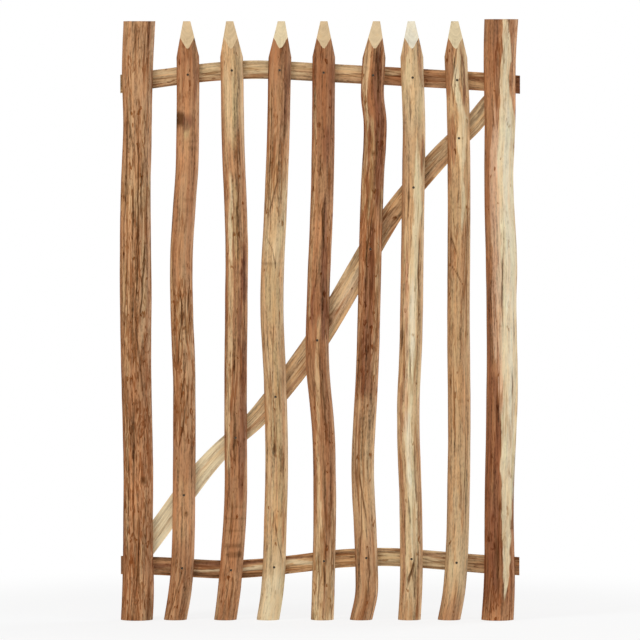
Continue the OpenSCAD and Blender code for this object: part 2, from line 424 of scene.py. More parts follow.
class Pole:
    """One split pole: a straight line, and how its middle and its width change along it."""

    def __init__(self, node, start, end, facing, skip=0.0, overrun=0.0):
        self.node = node
        self.start = Vector(start)
        self.length = (Vector(end) - self.start).length
        self.along = (Vector(end) - self.start).normalized()
        self.facing = Vector(facing)
        self.side = self.along.cross(self.facing)
        self.overrun = overrun
        self.first = skip
        self.last = self.length - skip
        self.hits = surface(node)
        places = np.linspace(self.first, self.last, STOPS)
        edges = np.array([self.edges(min(max(s, INSET), self.length - INSET)) for s in places])
        self.middles = edges.mean(1)
        self.halves = (edges[:, 1] - edges[:, 0]) / 2
        self.set_crown()

    def set_crown(self):
        """How deep the pole is for its width."""
        low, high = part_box(self.node)
        self.crown = (high.y - low.y) / self.halves.max()

    def edges(self, s):
        """How far the two edges of the flat side lie from the straight line at a length."""
        at = self.start + self.along * s + self.facing * SKIM
        found = []
        for way in (-1, 1):
            hit = self.hits.ray_cast(at + self.side * way * CLEAR, -self.side * way)[0]
            if hit is None:
                raise RuntimeError(f"{self.node} has no edge {s * 1000:.0f} mm along it")
            found.append((hit - self.start).dot(self.side))
        return found

    def middle_at(self, s):
        """How far the middle lies to the side of the straight line at a length."""
        return smooth(self.middles, (np.asarray(s) - self.first) / (self.last - self.first))

    def half_at(self, s):
        """Half the flat side's width at a length."""
        place = (np.asarray(s) - self.first) / (self.last - self.first)
        return smooth(self.halves, np.clip(place, 0, 1))

    def point(self, s):
        """The point in the frame at a length, on the middle of the flat side."""
        return self.start + self.along * s + self.side * float(self.middle_at(s))

    def wood_places(self, points):
        """Each point's place in the straightened pole: across, depth and along."""
        local = points - np.array(self.start)
        along = local @ np.array(self.along)
        across = local @ np.array(self.side) - self.middle_at(along)
        depth = local @ np.array(self.facing)
        return np.column_stack([across, depth, along])


def upright(node):
    """A post or a picket, whose flat side is at the back."""
    low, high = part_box(node)
    x = (low.x + high.x) / 2
    back = high.y
    return Pole(node, (x, back, low.z), (x, back, high.z), (0, -1, 0))


def picket_pole(node, tips):
    """An upright whose top is pointed, so that its width there is carried on from below."""
    pole = upright(node)
    places = np.linspace(0, pole.length, len(pole.halves))
    whole = places < pole.length - tips.side_cut
    pole.halves[~whole] = pole.halves[whole][-1]
    pole.set_crown()
    return pole


def rail_pole(node):
    """A rail, whose flat side is at the front."""
    low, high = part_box(node)
    z = (low.z + high.z) / 2
    return Pole(node, (low.x, low.y, z), (high.x, low.y, z), (0, 1, 0))


def brace_pole(node):
    """The brace, whose straight line joins the middles of its two level sawn ends.

    Each end slants, so its edges are read a little way in, and the wood is made a little longer
    and then cut level.
    """
    low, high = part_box(node)
    hits = surface(node)
    ends = []
    for z, near in ((low.z, low.z + INSET), (high.z, high.z - INSET)):
        reach = [hits.ray_cast(Vector((x, low.y + SKIM, near)), Vector((way, 0, 0)))[0].x
                 for x, way in ((-1, 1), (2, -1))]
        ends.append((sum(reach) / 2, low.y, z))
    return Pole(node, ends[0], ends[1], (0, 1, 0), skip=45 * MM, overrun=40 * MM)


# ---------------------------------------------------------------- colours of the wood

TONES = {
    "umber": (0.095, 0.038, 0.012),
    "plum": (0.200, 0.077, 0.040),
    "russet": (0.320, 0.140, 0.063),
    "brown": (0.392, 0.197, 0.095),
    "fawn": (0.457, 0.252, 0.127),
    "tan": (0.537, 0.345, 0.183),
    "olive": (0.462, 0.327, 0.162),
    "pale": (0.627, 0.450, 0.253),
    "cream": (0.747, 0.607, 0.382),
    "ivory": (0.797, 0.727, 0.567),
    "pink": (0.597, 0.377, 0.242),
    "chestnut": (0.497, 0.252, 0.121),
    "honey": (0.582, 0.352, 0.172),
    "milk": (0.817, 0.697, 0.462),
    "fresh": (0.707, 0.537, 0.327),
    "straw": (0.657, 0.482, 0.282),
    "oak": (0.492, 0.304, 0.155),
}
# How a streak's edge strays: over what length and width, and how far, in millimetres.
WANDER = ((48, 22, 2.0), (19, 5, 1.6), (30, 2.2, 1.3))
CELLS = (256, 64)       # of the noise, along and across, before it repeats


def ripple(along, across, length, width, seed):
    """Smooth noise from -1 to 1 that changes over a length and a width in millimetres."""
    grid = np.random.default_rng(seed).uniform(-1, 1, (CELLS[0] + 1, CELLS[1] + 1))
    u = (along / length) % CELLS[0]
    v = (across / width + CELLS[1] // 2) % CELLS[1]
    i, j = u.astype(int), v.astype(int)
    u, v = u - i, v - j
    u, v = u * u * (3 - 2 * u), v * v * (3 - 2 * v)
    low = grid[i, j] * (1 - v) + grid[i, j + 1] * v
    high = grid[i + 1, j] * (1 - v) + grid[i + 1, j + 1] * v
    return low * (1 - u) + high * u


def ease(x, low, high):
    """Rises smoothly from 0 where x is low to 1 where it is high."""
    t = np.clip((x - low) / (high - low), 0, 1)
    return t * t * (3 - 2 * t)


def streak_mask(line, along, across, seed):
    """1 inside a streak, and 0 outside it. Its line has three numbers for each stop.

    They are the place along the pole, the place across it and the streak's width, in millimetres.
    """
    stops = np.reshape(line, (-1, 3)).astype(float)
    first, last = stops[0, 0], stops[-1, 0]
    middle = np.interp(along, stops[:, 0], stops[:, 1])
    width = np.interp(along, stops[:, 0], stops[:, 2])
    wander = sum(ripple(along, across, length, breadth, seed + n) * height
                 for n, (length, breadth, height) in enumerate(WANDER))
    off = np.abs(across - middle + wander * np.minimum(1, width / 9))
    soft = 0.7 + 0.04 * width
    inside = 1 - ease(off, width / 2 - soft, width / 2 + soft)
    taper = min(14, (last - first) / 4)
    ends = ease(along, first - taper, first + taper) * (
        1 - ease(along, last - taper, last + taper))
    return inside * ends


def base_tone(look, along):
    """The ground colour of the wood at each place along a pole."""
    tones = np.array([TONES[name] for name in look.base.values()])
    return np.column_stack([np.interp(along, [*look.base], tones[:, c]) for c in range(3)])


PALE_SHADE_LOSS = np.array([0.20, 0.25, 0.32])      # what pale wood loses of its red, green and blue towards its right edge: painted shade
LIGHT_GAIN = np.array([0.34, 0.62, 1.0])       # what dark wood gains towards its right side: painted light, lighter and greyer
BARK_AND_SHADE = np.array([0.76, 0.68, 0.62])      # what is left of a colour at the edges: partly the last of the bark, partly painted shade


def painted_edge_light(colour, places, half):
    """The colour with painted light and shade across the round face: lighter and greyer on the
    right side, pale wood darker at its right edge, and both edges darker, partly from the last of
    the bark and partly painted shade.
    """
    off = places[:, 0] / half + 0.05 * ripple(places[:, 2] / MM, places[:, 0] / MM, 35, 9, 77)
    lightness = colour[:, 1]
    # Painted light: lighter and greyer over the right half, most at the right edge, less on pale
    # wood.
    painted_light = 0.30 * ease(off, 0.05, 0.45) + 0.70 * ease(off, 0.68, 0.90)
    painted_light *= 1 - np.clip(1.5 * lightness, 0, 0.8)
    # Painted shade: pale wood darker towards its right edge.
    pale_edge_shade = ease(lightness, 0.40, 0.60) * ease(off, 0.58, 0.88)
    # Darker at both edges: partly the last of the bark, partly painted shade.
    bark = 0.75 * ease(-off, 0.50, 1.0) + 0.6 * ease(-off, 0.93, 1.0)
    bark += 1.1 * ease(off, 0.93, 1.0)
    colour = colour * (1 - pale_edge_shade[:, None] * PALE_SHADE_LOSS)
    colour = colour * (1 + painted_light[:, None] * LIGHT_GAIN)
    return colour * (1 - bark[:, None] * (1 - BARK_AND_SHADE))


def painted(look, places, strength):
    """The colour of the wood at each place of a straightened pole."""
    along, across = places[:, 2] / MM, places[:, 0] / MM
    seed = look.seed * 100
    dark = np.array(TONES["umber"])
    drift = ripple(along, across, 90, 12, seed) * 20
    colour = base_tone(look, along + drift)
    for n, (tone, share, *line) in enumerate(look.streaks):
        mask = streak_mask(line, along, across, seed + 7 * n + 3) * share
        mask = mask * (0.86 + 0.14 * ripple(along, across, 22, 4, seed + n)) * strength
        colour += (np.array(TONES[tone]) - colour) * mask[:, None]
    for n, (depth, *line) in enumerate(look.cracks):
        mask = streak_mask(line, along, across, seed + 11 * n + 5) * min(1, 0.35 + 0.3 * depth)
        colour += (dark * 1.2 - colour) * (mask * strength)[:, None]
    for a, c, size in look.knots:
        off = np.hypot((along - a) / 1.25, across - c) / size
        ring = np.exp(-((off - 1) / 0.35) ** 2) * 0.55 + (1 - ease(off, 0.5, 0.8)) * 0.85
        colour += (dark * 1.6 - colour) * (ring * strength)[:, None]
    return colour


def raised(look, places):
    """How far cracks and knots lower or raise the wood at each place, in metres."""
    along, across = places[:, 2] / MM, places[:, 0] / MM
    height = np.zeros(len(along))
    for n, (depth, *line) in enumerate(look.cracks):
        height -= streak_mask(line, along, across, look.seed * 100 + 11 * n + 5) * depth
    for a, c, size in look.knots:
        off = np.hypot((along - a) / 1.4, across - c) / size
        swell = np.exp(-((off - 1.1) / 0.6) ** 2) - 0.8 * np.exp(-(off / 0.5) ** 2)
        height += swell * 0.12 * size
    return height * MM


RIDGE_FALL = 2.6 * MM      # how far the face falls away halfway between its ridge and its edge
RIDGE_ENDS = (170 * MM, 70 * MM)   # how far under the top the ridge begins and is full


def ridged(pole, places):
    """How far the round face falls away beside its ridge, near a picket's point, in metres."""
    off = np.abs(places[:, 0]) / pole.half_at(places[:, 2])
    near = ease(places[:, 2], *[pole.length - end for end in RIDGE_ENDS])
    return RIDGE_FALL * np.sin(math.pi * np.clip(off, 0, 1)) ** 1.7 * near


def round_knots(look, places):
    """The places, pushed apart so that the fibres run round each knot."""
    moved = places.copy()
    for a, c, size in look.knots:
        along, across = places[:, 2] / MM - a, places[:, 0] / MM - c
        push = size * np.exp(-(along / (3.2 * size)) ** 2 - (across / (1.8 * size)) ** 2)
        moved[:, 0] -= np.tanh(across / size * 1.5) * push * 0.8 * MM
    return moved


def roughness_at(look, along):
    """How furrowed the wood is along a pole, from 0 to 1."""
    return np.interp(along / MM, [*look.rough], [*look.rough.values()])


Look = namedtuple("Look", "slot sawn seed base streaks cracks knots rough")
# A pole's ground tones and its roughness go by the place along it, in millimetres. A streak is a
# tone, a share and its line. A crack is a depth and its line. A line has three numbers for each
# stop: how far along, how far across and how wide. A knot is how far along, how far across and
# how large.
LOOKS = {}
LOOKS["hinge_post"] = Look(
    "post_wood", "oak", 1,
    {0: "fawn", 90: "chestnut", 180: "brown", 330: "chestnut", 480: "brown", 620: "brown",
     730: "fawn", 1000: "fawn", 1070: "oak", 1160: "fawn", 1500: "fawn"},
    [("umber", 0.5, -10, 31, 16, 60, 30, 14, 105, 27, 6),
     ("plum", 0.5, 1430, 27, 5, 1505, 29, 15),
     ("russet", 0.5, 330, 18, 10, 380, 17, 16, 420, 14, 6),
     ("tan", 0.6, 160, -26, 8, 330, -28, 10, 700, -26, 12, 900, -30, 10),
     ("tan", 0.6, 60, 6, 10, 200, 10, 8), ("tan", 0.6, 700, 18, 8, 860, 24, 12, 1100, 22, 10),
     ("tan", 0.45, 960, -18, 6, 1100, -16, 9, 1300, -14, 10, 1420, -10, 6),
     ("russet", 0.45, 560, 26, 10, 760, 30, 8, 1180, 30, 8)],
    [(1.6, 745, 11, 3, 815, 17, 4, 885, 22, 5, 945, 25, 3),
     (1.9, 810, 3, 3, 900, 8, 4, 1000, 9, 5, 1205, 5, 3),
     (1.5, 930, -6, 3, 1010, -5, 5, 1090, -6, 3),
     (1.2, 560, 19, 3, 640, 12, 4, 720, 3, 4, 810, 0, 3),
     (1.3, 1180, -9, 3, 1215, -15, 5, 1250, -21, 3),
     (1.3, 730, -28, 3, 780, -27, 4, 910, -21, 3),
     (1.4, 1020, -25, 3, 1130, -24, 4, 1250, -26, 3),
     (1.3, 1010, 17, 3, 1080, 15, 4, 1150, 17, 3),
     (1, 195, -9, 3, 350, -12, 4, 500, -8, 4, 560, -3, 3),
     (1.2, 430, -18, 3, 470, -17, 4, 510, -19, 3), (1.2, 270, -24, 3, 350, -22, 4, 430, -25, 3),
     (1.1, 60, -6, 3, 150, 2, 4, 260, 4, 3), (0.9, 1385, -4, 3, 1440, -7, 4, 1500, -8, 4),
     (1, 1395, 17, 3, 1440, 17, 5, 1480, 18, 3)],
    [(352, 14, 7)],
    {0: 0.75, 300: 0.85, 700: 0.85, 950: 0.62, 1200: 0.55, 1320: 0.45, 1500: 0.5})
LOOKS["latch_post"] = Look(
    "post_wood", "oak", 2,
    {0: "chestnut", 60: "russet", 450: "russet", 700: "brown", 1150: "brown", 1300: "chestnut",
     1500: "brown"},
    [("milk", 0.97, 60, 13, 4, 110, 15, 16, 200, 18, 21, 350, 19, 31, 450, 20, 42, 560, 19, 50,
      800, 16, 57, 940, 16, 56, 1040, 17, 53, 1170, 18, 50, 1250, 17, 44, 1300, 14, 28, 1335, 9,
      26, 1360, 10, 22, 1400, 16, 24, 1440, 15, 22, 1480, 10, 14, 1510, 6, 12),
     ("ivory", 0.5, 330, 22, 8, 500, 24, 18, 700, 24, 22, 900, 24, 24, 1150, 22, 26, 1250, 20,
      14, 1300, 14, 8),
     ("pink", 0.85, 520, -2, 8, 640, -8, 18, 740, -11, 24, 900, -12, 22, 1040, -12, 22, 1200,
      -14, 16, 1300, -12, 8),
     ("plum", 0.8, 75, -8, 12, 160, -12, 24, 300, -10, 14, 470, -8, 14, 620, -22, 8),
     ("plum", 0.65, 60, -28, 8, 250, -26, 10, 640, -31, 8, 900, -33, 6),
     ("umber", 0.5, 105, -6, 8, 160, -8, 14, 235, -10, 6),
     ("plum", 0.6, 1280, -8, 6, 1380, -10, 12, 1510, -14, 14),
     ("russet", 0.7, 1000, -32, 8, 1150, -28, 8, 1300, -24, 10, 1510, -26, 12),
     ("russet", 0.8, 1330, 27, 6, 1400, 32, 6, 1505, 27, 16),
     ("umber", 0.6, 220, 35, 5, 330, 34, 7, 420, 36, 3),
     ("russet", 0.4, 730, 3, 3, 860, 2, 4, 980, 6, 3)],
    [(1.2, 740, 2, 2.5, 800, 0, 3.5, 905, 2, 2.5), (1, 60, -2, 3, 180, -4, 4, 300, 0, 3),
     (1, 560, 24, 2.5, 590, 25, 3, 625, 24, 2.5), (1, 690, 30, 2.5, 730, 31, 3, 770, 30, 2.5),
     (0.9, 1310, -5, 3, 1360, -2, 4, 1420, -6, 3)],
    [],
    {0: 0.6, 200: 0.5, 450: 0.2, 1150: 0.15, 1500: 0.3})
LOOKS["picket_1"] = Look(
    "picket_wood", "straw", 3,
    {0: "fawn", 160: "brown", 260: "chestnut", 400: "brown", 520: "fawn", 820: "fawn",
     880: "brown", 1080: "brown", 1180: "chestnut", 1300: "brown", 1500: "brown"},
    [("russet", 0.55, 995, 16, 18, 1100, 12, 22, 1255, 16, 18),
     ("tan", 0.55, 690, -2, 24, 750, 2, 36, 810, 0, 24),
     ("plum", 0.6, 1240, -4, 34, 1254, -6, 42, 1268, -8, 34),
     ("brown", 0.5, 1190, 2, 40, 1220, 0, 50, 1240, 0, 50),
     ("russet", 0.4, 0, 8, 24, 160, 10, 18),
     ("pale", 0.6, 785, -25, 4, 860, -24, 6, 965, -26, 4),
     ("tan", 0.3, 200, 0, 26, 280, 0, 36, 350, 0, 26),
     ("tan", 0.3, 830, 4, 14, 950, 0, 22, 1120, -6, 14),
     ("fawn", 0.6, 480, 8, 8, 600, -8, 10, 740, -14, 8),
     ("olive", 0.75, 1208, -4, 8, 1235, -4, 14, 1255, -4, 10),
     ("umber", 1, 1238, -19, 16, 1256, -18, 24, 1274, -20, 16),
     ("plum", 0.85, 1226, -2, 14, 1243, 0, 22, 1260, -2, 14),
     ("umber", 0.5, 855, -22, 4, 900, -21, 6, 950, -22, 3),
     ("umber", 0.4, 1180, 14, 24, 1183, 13, 26, 1186, 14, 24),
     ("umber", 0.4, 1196, 14, 20, 1199, 13, 24, 1202, 14, 20),
     ("umber", 0.35, 1214, 15, 18, 1217, 14, 22, 1220, 15, 18),
     ("umber", 0.35, 1024, 8, 26, 1027, 8, 30, 1030, 8, 26),
     ("umber", 0.35, 1050, 10, 24, 1053, 8, 26, 1056, 10, 24),
     ("plum", 0.5, 1300, 20, 8, 1360, 20, 12, 1420, 16, 8),
     ("russet", 0.75, 1395, 0, 60, 1430, 0, 60, 1500, 0, 60)],
    [(1.4, 430, -14, 3, 480, -4, 4, 560, 7, 3), (1.2, 545, -8, 3, 600, -2, 4, 655, 6, 3),
     (1.5, 640, -15, 3, 700, -10, 4, 770, 4, 3), (1.8, 745, -3, 3, 790, 0, 5, 836, -4, 3),
     (1.6, 770, 16, 3, 800, 18, 4, 832, 19, 3), (1, 20, -16, 3, 90, -6, 4, 130, 2, 3)],
    [(268, 6, 4)],
    {0: 0.6, 150: 0.5, 230: 0.1, 400: 0.1, 460: 0.9, 820: 0.9, 870: 0.1, 1200: 0.1, 1330: 0.45,
     1500: 0.4})
LOOKS["picket_2"] = Look(
    "picket_wood", "straw", 4,
    {0: "brown", 120: "chestnut", 250: "brown", 620: "brown", 850: "brown", 1000: "fawn",
     1210: "fawn", 1290: "tan", 1500: "tan"},
    [("pale", 0.75, 380, -19, 8, 520, -18, 12, 700, -16, 14, 860, -15, 12, 1000, -14, 10),
     ("cream", 0.75, 900, -14, 5, 960, -14, 9, 1040, -12, 9, 1120, -10, 5),
     ("plum", 0.85, 800, 20, 10, 860, 19, 16, 950, 21, 8),
     ("plum", 0.75, 680, 6, 6, 760, 8, 12, 830, 8, 8),
     ("plum", 0.7, 300, 14, 12, 420, 16, 20, 560, 18, 14, 700, 20, 10),
     ("umber", 0.75, 400, -3, 4, 460, -3, 7, 530, -3, 4),
     ("umber", 0.7, 585, -5, 3, 640, -4, 5, 706, -6, 3),
     ("umber", 0.65, 960, 7, 3, 1050, 8, 5, 1120, 6, 3),
     ("umber", 0.5, 870, -7, 3, 930, -7, 4, 1010, -6, 3),
     ("russet", 0.6, 960, 22, 7, 1060, 22, 9, 1180, 24, 5),
     ("olive", 0.6, 900, 2, 10, 1000, 2, 10, 1100, -2, 10),
     ("olive", 0.6, 1180, 0, 16, 1330, 6, 16, 1420, 6, 10),
     ("pale", 0.4, 1200, -8, 16, 1330, -8, 24, 1440, -4, 34, 1500, 0, 44),
     ("brown", 0.6, 1180, -25, 6, 1330, -25, 6, 1420, -24, 5),
     ("russet", 0.5, 120, 12, 30, 165, 5, 44, 190, 5, 40),
     ("umber", 0.6, 158, 8, 30, 165, 4, 40, 172, 8, 30),
     ("umber", 0.55, 182, 0, 30, 187, 0, 44, 192, 0, 30),
     ("umber", 0.35, 222, 4, 40, 225, 2, 50, 228, 4, 40),
     ("umber", 0.35, 252, 4, 40, 255, 2, 50, 258, 4, 40),
     ("umber", 0.3, 284, 4, 40, 287, 2, 50, 290, 4, 40),
     ("pale", 0.5, -5, -24, 6, 40, -25, 5, 90, -25, 3)],
    [(1, 0, 6, 3, 60, 8, 4, 110, 6, 3), (1, 985, 3, 3, 1010, 5, 4, 1035, 3, 3)],
    [],
    {0: 0.45, 200: 0.2, 400: 0.4, 900: 0.5, 1120: 0.4, 1200: 0.15, 1500: 0.1})
LOOKS["picket_3"] = Look(
    "picket_wood", "cream", 5,
    {0: "cream", 90: "cream", 130: "pale", 220: "honey", 420: "tan", 860: "tan", 940: "pale",
     1090: "tan", 1200: "fawn", 1290: "brown", 1500: "brown"},
    [("olive", 0.6, 180, 14, 10, 400, 10, 14, 700, 4, 12),
     ("olive", 0.5, 740, 0, 30, 820, 0, 40, 900, 0, 26),
     ("pale", 0.7, 120, -14, 16, 320, -16, 14, 520, -12, 12, 700, -8, 10),
     ("brown", 0.6, 190, 20, 6, 400, 16, 6, 520, 19, 6, 680, 20, 6),
     ("brown", 0.55, 230, -12, 4, 330, -14, 5, 420, -13, 4),
     ("brown", 0.55, 300, 1, 4, 420, -2, 5, 520, -4, 5, 660, -12, 4),
     ("fawn", 0.5, 1010, -12, 4, 1100, 4, 8, 1200, 16, 10),
     ("umber", 0.45, 1010, -20, 2.5, 1060, -8, 4, 1110, 4, 2.5),
     ("umber", 0.4, 1080, -22, 2.5, 1130, -10, 4, 1180, 4, 2.5),
     ("umber", 0.4, 1150, -6, 2.5, 1190, 4, 4, 1230, 14, 2.5),
     ("russet", 0.4, 1130, -14, 4, 1200, -2, 8, 1270, 10, 12),
     ("umber", 0.6, 1200, 14, 5, 1236, 16, 9, 1290, 18, 4),
     ("plum", 0.6, 1250, 16, 10, 1340, 18, 16, 1420, 18, 10),
     ("tan", 0.5, 1150, -18, 8, 1250, -20, 8, 1330, -22, 5),
     ("umber", 0.45, 890, 0, 50, 893, 0, 56, 896, 0, 50),
     ("russet", 0.6, 1395, 0, 60, 1430, 0, 60, 1500, 0, 60),
     ("pale", 0.6, 880, 14, 14, 1000, 18, 12, 1080, 22, 6)],
    [(0.9, 145, 22, 3, 200, 8, 3, 265, -4, 3), (1, 885, 8, 3, 930, -2, 3, 960, -18, 3),
     (0.9, 1020, -14, 3, 1060, -6, 3, 1110, 4, 3), (0.8, 590, -6, 3, 640, -4, 3, 740, 4, 3)],
    [(430, -7, 4)],
    {0: 0.1, 200: 0.25, 700: 0.35, 950: 0.2, 1150: 0.5, 1300: 0.4, 1500: 0.3})
LOOKS["picket_4"] = Look(
    "picket_wood", "straw", 6,
    {0: "pale", 140: "tan", 260: "fawn", 360: "brown", 660: "brown", 760: "russet", 880: "brown",
     1000: "chestnut", 1120: "brown", 1200: "russet", 1380: "russet", 1500: "brown"},
    [("plum", 0.85, 700, 16, 8, 790, 14, 14, 900, 12, 14, 1010, 8, 10, 1060, 6, 5),
     ("plum", 0.8, 735, -12, 5, 790, -14, 9, 845, -8, 6),
     ("plum", 0.6, 1140, 10, 10, 1190, 8, 18, 1240, 12, 8),
     ("plum", 0.5, 1260, 20, 8, 1340, 20, 14, 1420, 20, 8),
     ("russet", 0.65, 150, 8, 12, 400, 12, 16, 700, 12, 20),
     ("pale", 0.9, -5, -17, 16, 140, -15, 18, 300, -15, 12, 420, -16, 6),
     ("tan", 0.9, 420, -18, 6, 560, -6, 10, 660, 0, 12, 760, 4, 8),
     ("tan", 0.7, 760, -22, 6, 860, -22, 7, 1000, -22, 6, 1090, -20, 8, 1330, -21, 6),
     ("umber", 0.65, 450, 6, 3, 540, 8, 5, 640, 12, 3),
     ("umber", 0.65, 530, -14, 3, 620, -16, 5, 700, -18, 3),
     ("umber", 0.6, 790, 14, 3, 830, 11, 7, 860, 12, 3),
     ("umber", 0.6, 930, 6, 3, 980, 6, 6, 1030, 6, 3),
     ("umber", 0.55, 240, 2, 3, 310, 0, 5, 400, 2, 3),
     ("russet", 0.6, 0, 2, 5, 60, 4, 8, 125, 3, 5),
     ("tan", 0.5, 0, 22, 8, 120, 24, 8, 300, 24, 6),
     ("russet", 0.6, 1395, 0, 60, 1430, 0, 60, 1500, 0, 60)],
    [(1.3, 925, 14, 3, 960, 8, 4, 1025, 2, 5, 1045, 6, 3),
     (1, 30, -13, 3, 80, -11, 3, 170, -14, 3), (1.2, 90, 4, 3, 115, 2, 5, 140, 0, 3),
     (1, 500, 2, 3, 600, 6, 3, 700, 4, 3)],
    [],
    {0: 0.5, 300: 0.45, 800: 0.45, 1100: 0.4, 1500: 0.3})
LOOKS["picket_5"] = Look(
    "picket_wood", "fresh", 7,
    {0: "fawn", 200: "fawn", 300: "tan", 460: "tan", 560: "fawn", 580: "brown", 860: "brown",
     960: "chestnut", 1060: "brown", 1180: "russet", 1300: "russet", 1380: "brown", 1500: "brown"},
    [("tan", 0.65, 70, 26, 8, 180, 25, 8, 290, 26, 5),
     ("tan", 0.6, 200, 2, 8, 260, 2, 14, 320, 6, 8),
     ("plum", 0.4, 310, -20, 6, 420, -16, 14, 520, -14, 10),
     ("plum", 0.75, 566, -6, 22, 620, -6, 24, 700, -4, 24, 860, -2, 20, 1000, 4, 10),
     ("umber", 0.6, 600, 2, 3, 700, 4, 6, 800, 2, 3),
     ("umber", 0.6, 760, -10, 3, 860, -8, 6, 960, -10, 3),
     ("tan", 0.7, 600, 19, 8, 720, 19, 10, 880, 18, 9, 960, 18, 6),
     ("tan", 0.5, 620, -25, 4, 760, -24, 5, 900, -24, 4),
     ("pale", 0.85, 1020, -23, 6, 1120, -22, 10, 1230, -22, 8, 1330, -20, 14, 1400, -19, 16,
      1460, -18, 18),
     ("plum", 0.85, 1040, 14, 8, 1110, 14, 14, 1180, 10, 22, 1250, 10, 24, 1300, 12, 22, 1400,
      12, 18, 1440, 8, 10), ("umber", 0.6, 1130, 6, 3, 1190, 6, 6, 1250, 8, 3),
     ("umber", 0.6, 1300, 12, 3, 1350, 14, 7, 1400, 12, 3),
     ("olive", 0.5, 1000, 25, 6, 1080, 24, 8),
     ("olive", 0.6, 1000, -10, 10, 1080, -4, 10, 1180, -6, 10, 1260, -8, 8),
     ("tan", 0.5, 0, -22, 8, 120, -18, 8, 200, -21, 6),
     ("brown", 0.6, 1425, 0, 60, 1450, 0, 60, 1500, 0, 60)],
    [(1.4, 60, 6, 3, 95, 4, 3, 120, 8, 4, 172, 6, 3), (1.2, 250, 6, 3, 310, -2, 4, 372, -10, 3),
     (1, 160, -18, 3, 230, -10, 4, 330, -4, 3), (1, 730, -4, 3, 800, 2, 4, 860, 0, 3),
     (1, 900, -12, 3, 980, -2, 4, 1040, 6, 3), (1, 1290, 12, 3, 1340, 16, 4, 1400, 10, 3)],
    [(1170, -2, 5)],
    {0: 0.5, 130: 0.3, 500: 0.25, 620: 0.75, 1100: 0.7, 1500: 0.4})
LOOKS["picket_6"] = Look(
    "picket_wood", "ivory", 8,
    {0: "tan", 90: "pale", 240: "pale", 330: "tan", 420: "tan", 500: "pale", 700: "tan",
     1200: "tan", 1290: "pale", 1500: "pale"},
    [("cream", 1, 150, 4, 10, 250, 6, 20, 330, 2, 20, 500, -1, 18, 600, 2, 16, 700, 2, 20, 860,
      2, 22, 950, 6, 16, 1020, 12, 20, 1100, 12, 16, 1215, 6, 3),
     ("ivory", 0.6, 330, 0, 10, 440, -2, 12, 520, 0, 8),
     ("ivory", 0.6, 640, 2, 8, 760, 3, 13, 860, 2, 8),
     ("fawn", 0.75, 0, 20, 14, 150, 22, 12, 400, 24, 10, 560, 25, 6),
     ("fawn", 0.5, 700, 24, 8, 900, 24, 8),
     ("russet", 0.85, 806, -14, 3, 870, -15, 7, 940, -14, 3),
     ("umber", 0.8, 672, -24, 3, 710, -23, 7, 750, -24, 3),
     ("russet", 0.8, 440, -20, 5, 520, -17, 9, 600, -14, 8, 640, -16, 4),
     ("russet", 0.7, 480, -4, 3, 540, -4, 5, 570, -3, 3),
     ("russet", 0.8, 60, -18, 6, 200, -18, 10, 330, -20, 9, 420, -22, 5),
     ("pink", 0.6, 470, -10, 6, 600, -6, 6, 750, -12, 8, 900, -12, 6),
     ("umber", 0.8, 1005, -14, 3, 1060, -10, 6, 1100, -12, 3),
     ("umber", 0.8, 1245, -9, 3, 1280, -8, 5, 1315, -9, 3),
     ("russet", 0.85, 1120, 20, 6, 1165, 20, 11, 1210, 22, 6),
     ("fawn", 0.6, 1040, -18, 8, 1100, -16, 10, 1180, -18, 6),
     ("brown", 0.8, 1340, 22, 6, 1400, 20, 12, 1480, 14, 16),
     ("brown", 0.75, 1370, -22, 6, 1420, -20, 10, 1500, -14, 12),
     ("umber", 0.6, 56, 8, 3, 90, 10, 5, 130, 10, 3),
     ("fawn", 0.6, 0, -16, 12, 120, -20, 12, 250, -22, 8),
     ("brown", 0.65, 760, -25, 4, 1000, -26, 7, 1300, -25, 5),
     ("umber", 0.65, 300, 14, 2.5, 370, 12, 4, 430, 14, 2.5),
     ("umber", 0.65, 820, 16, 2.5, 880, 14, 4, 960, 17, 2.5)],
    [(1.8, 88, -8, 3, 110, -5, 6, 130, 2, 6, 150, 7, 4), (1, 60, 10, 3, 110, 4, 3, 170, 8, 3),
     (0.9, 240, -2, 3, 280, -4, 4, 310, -6, 3), (0.9, 600, 3, 3, 640, 0, 3, 690, -4, 3)],
    [],
    {0: 0.4, 200: 0.25, 1500: 0.12})
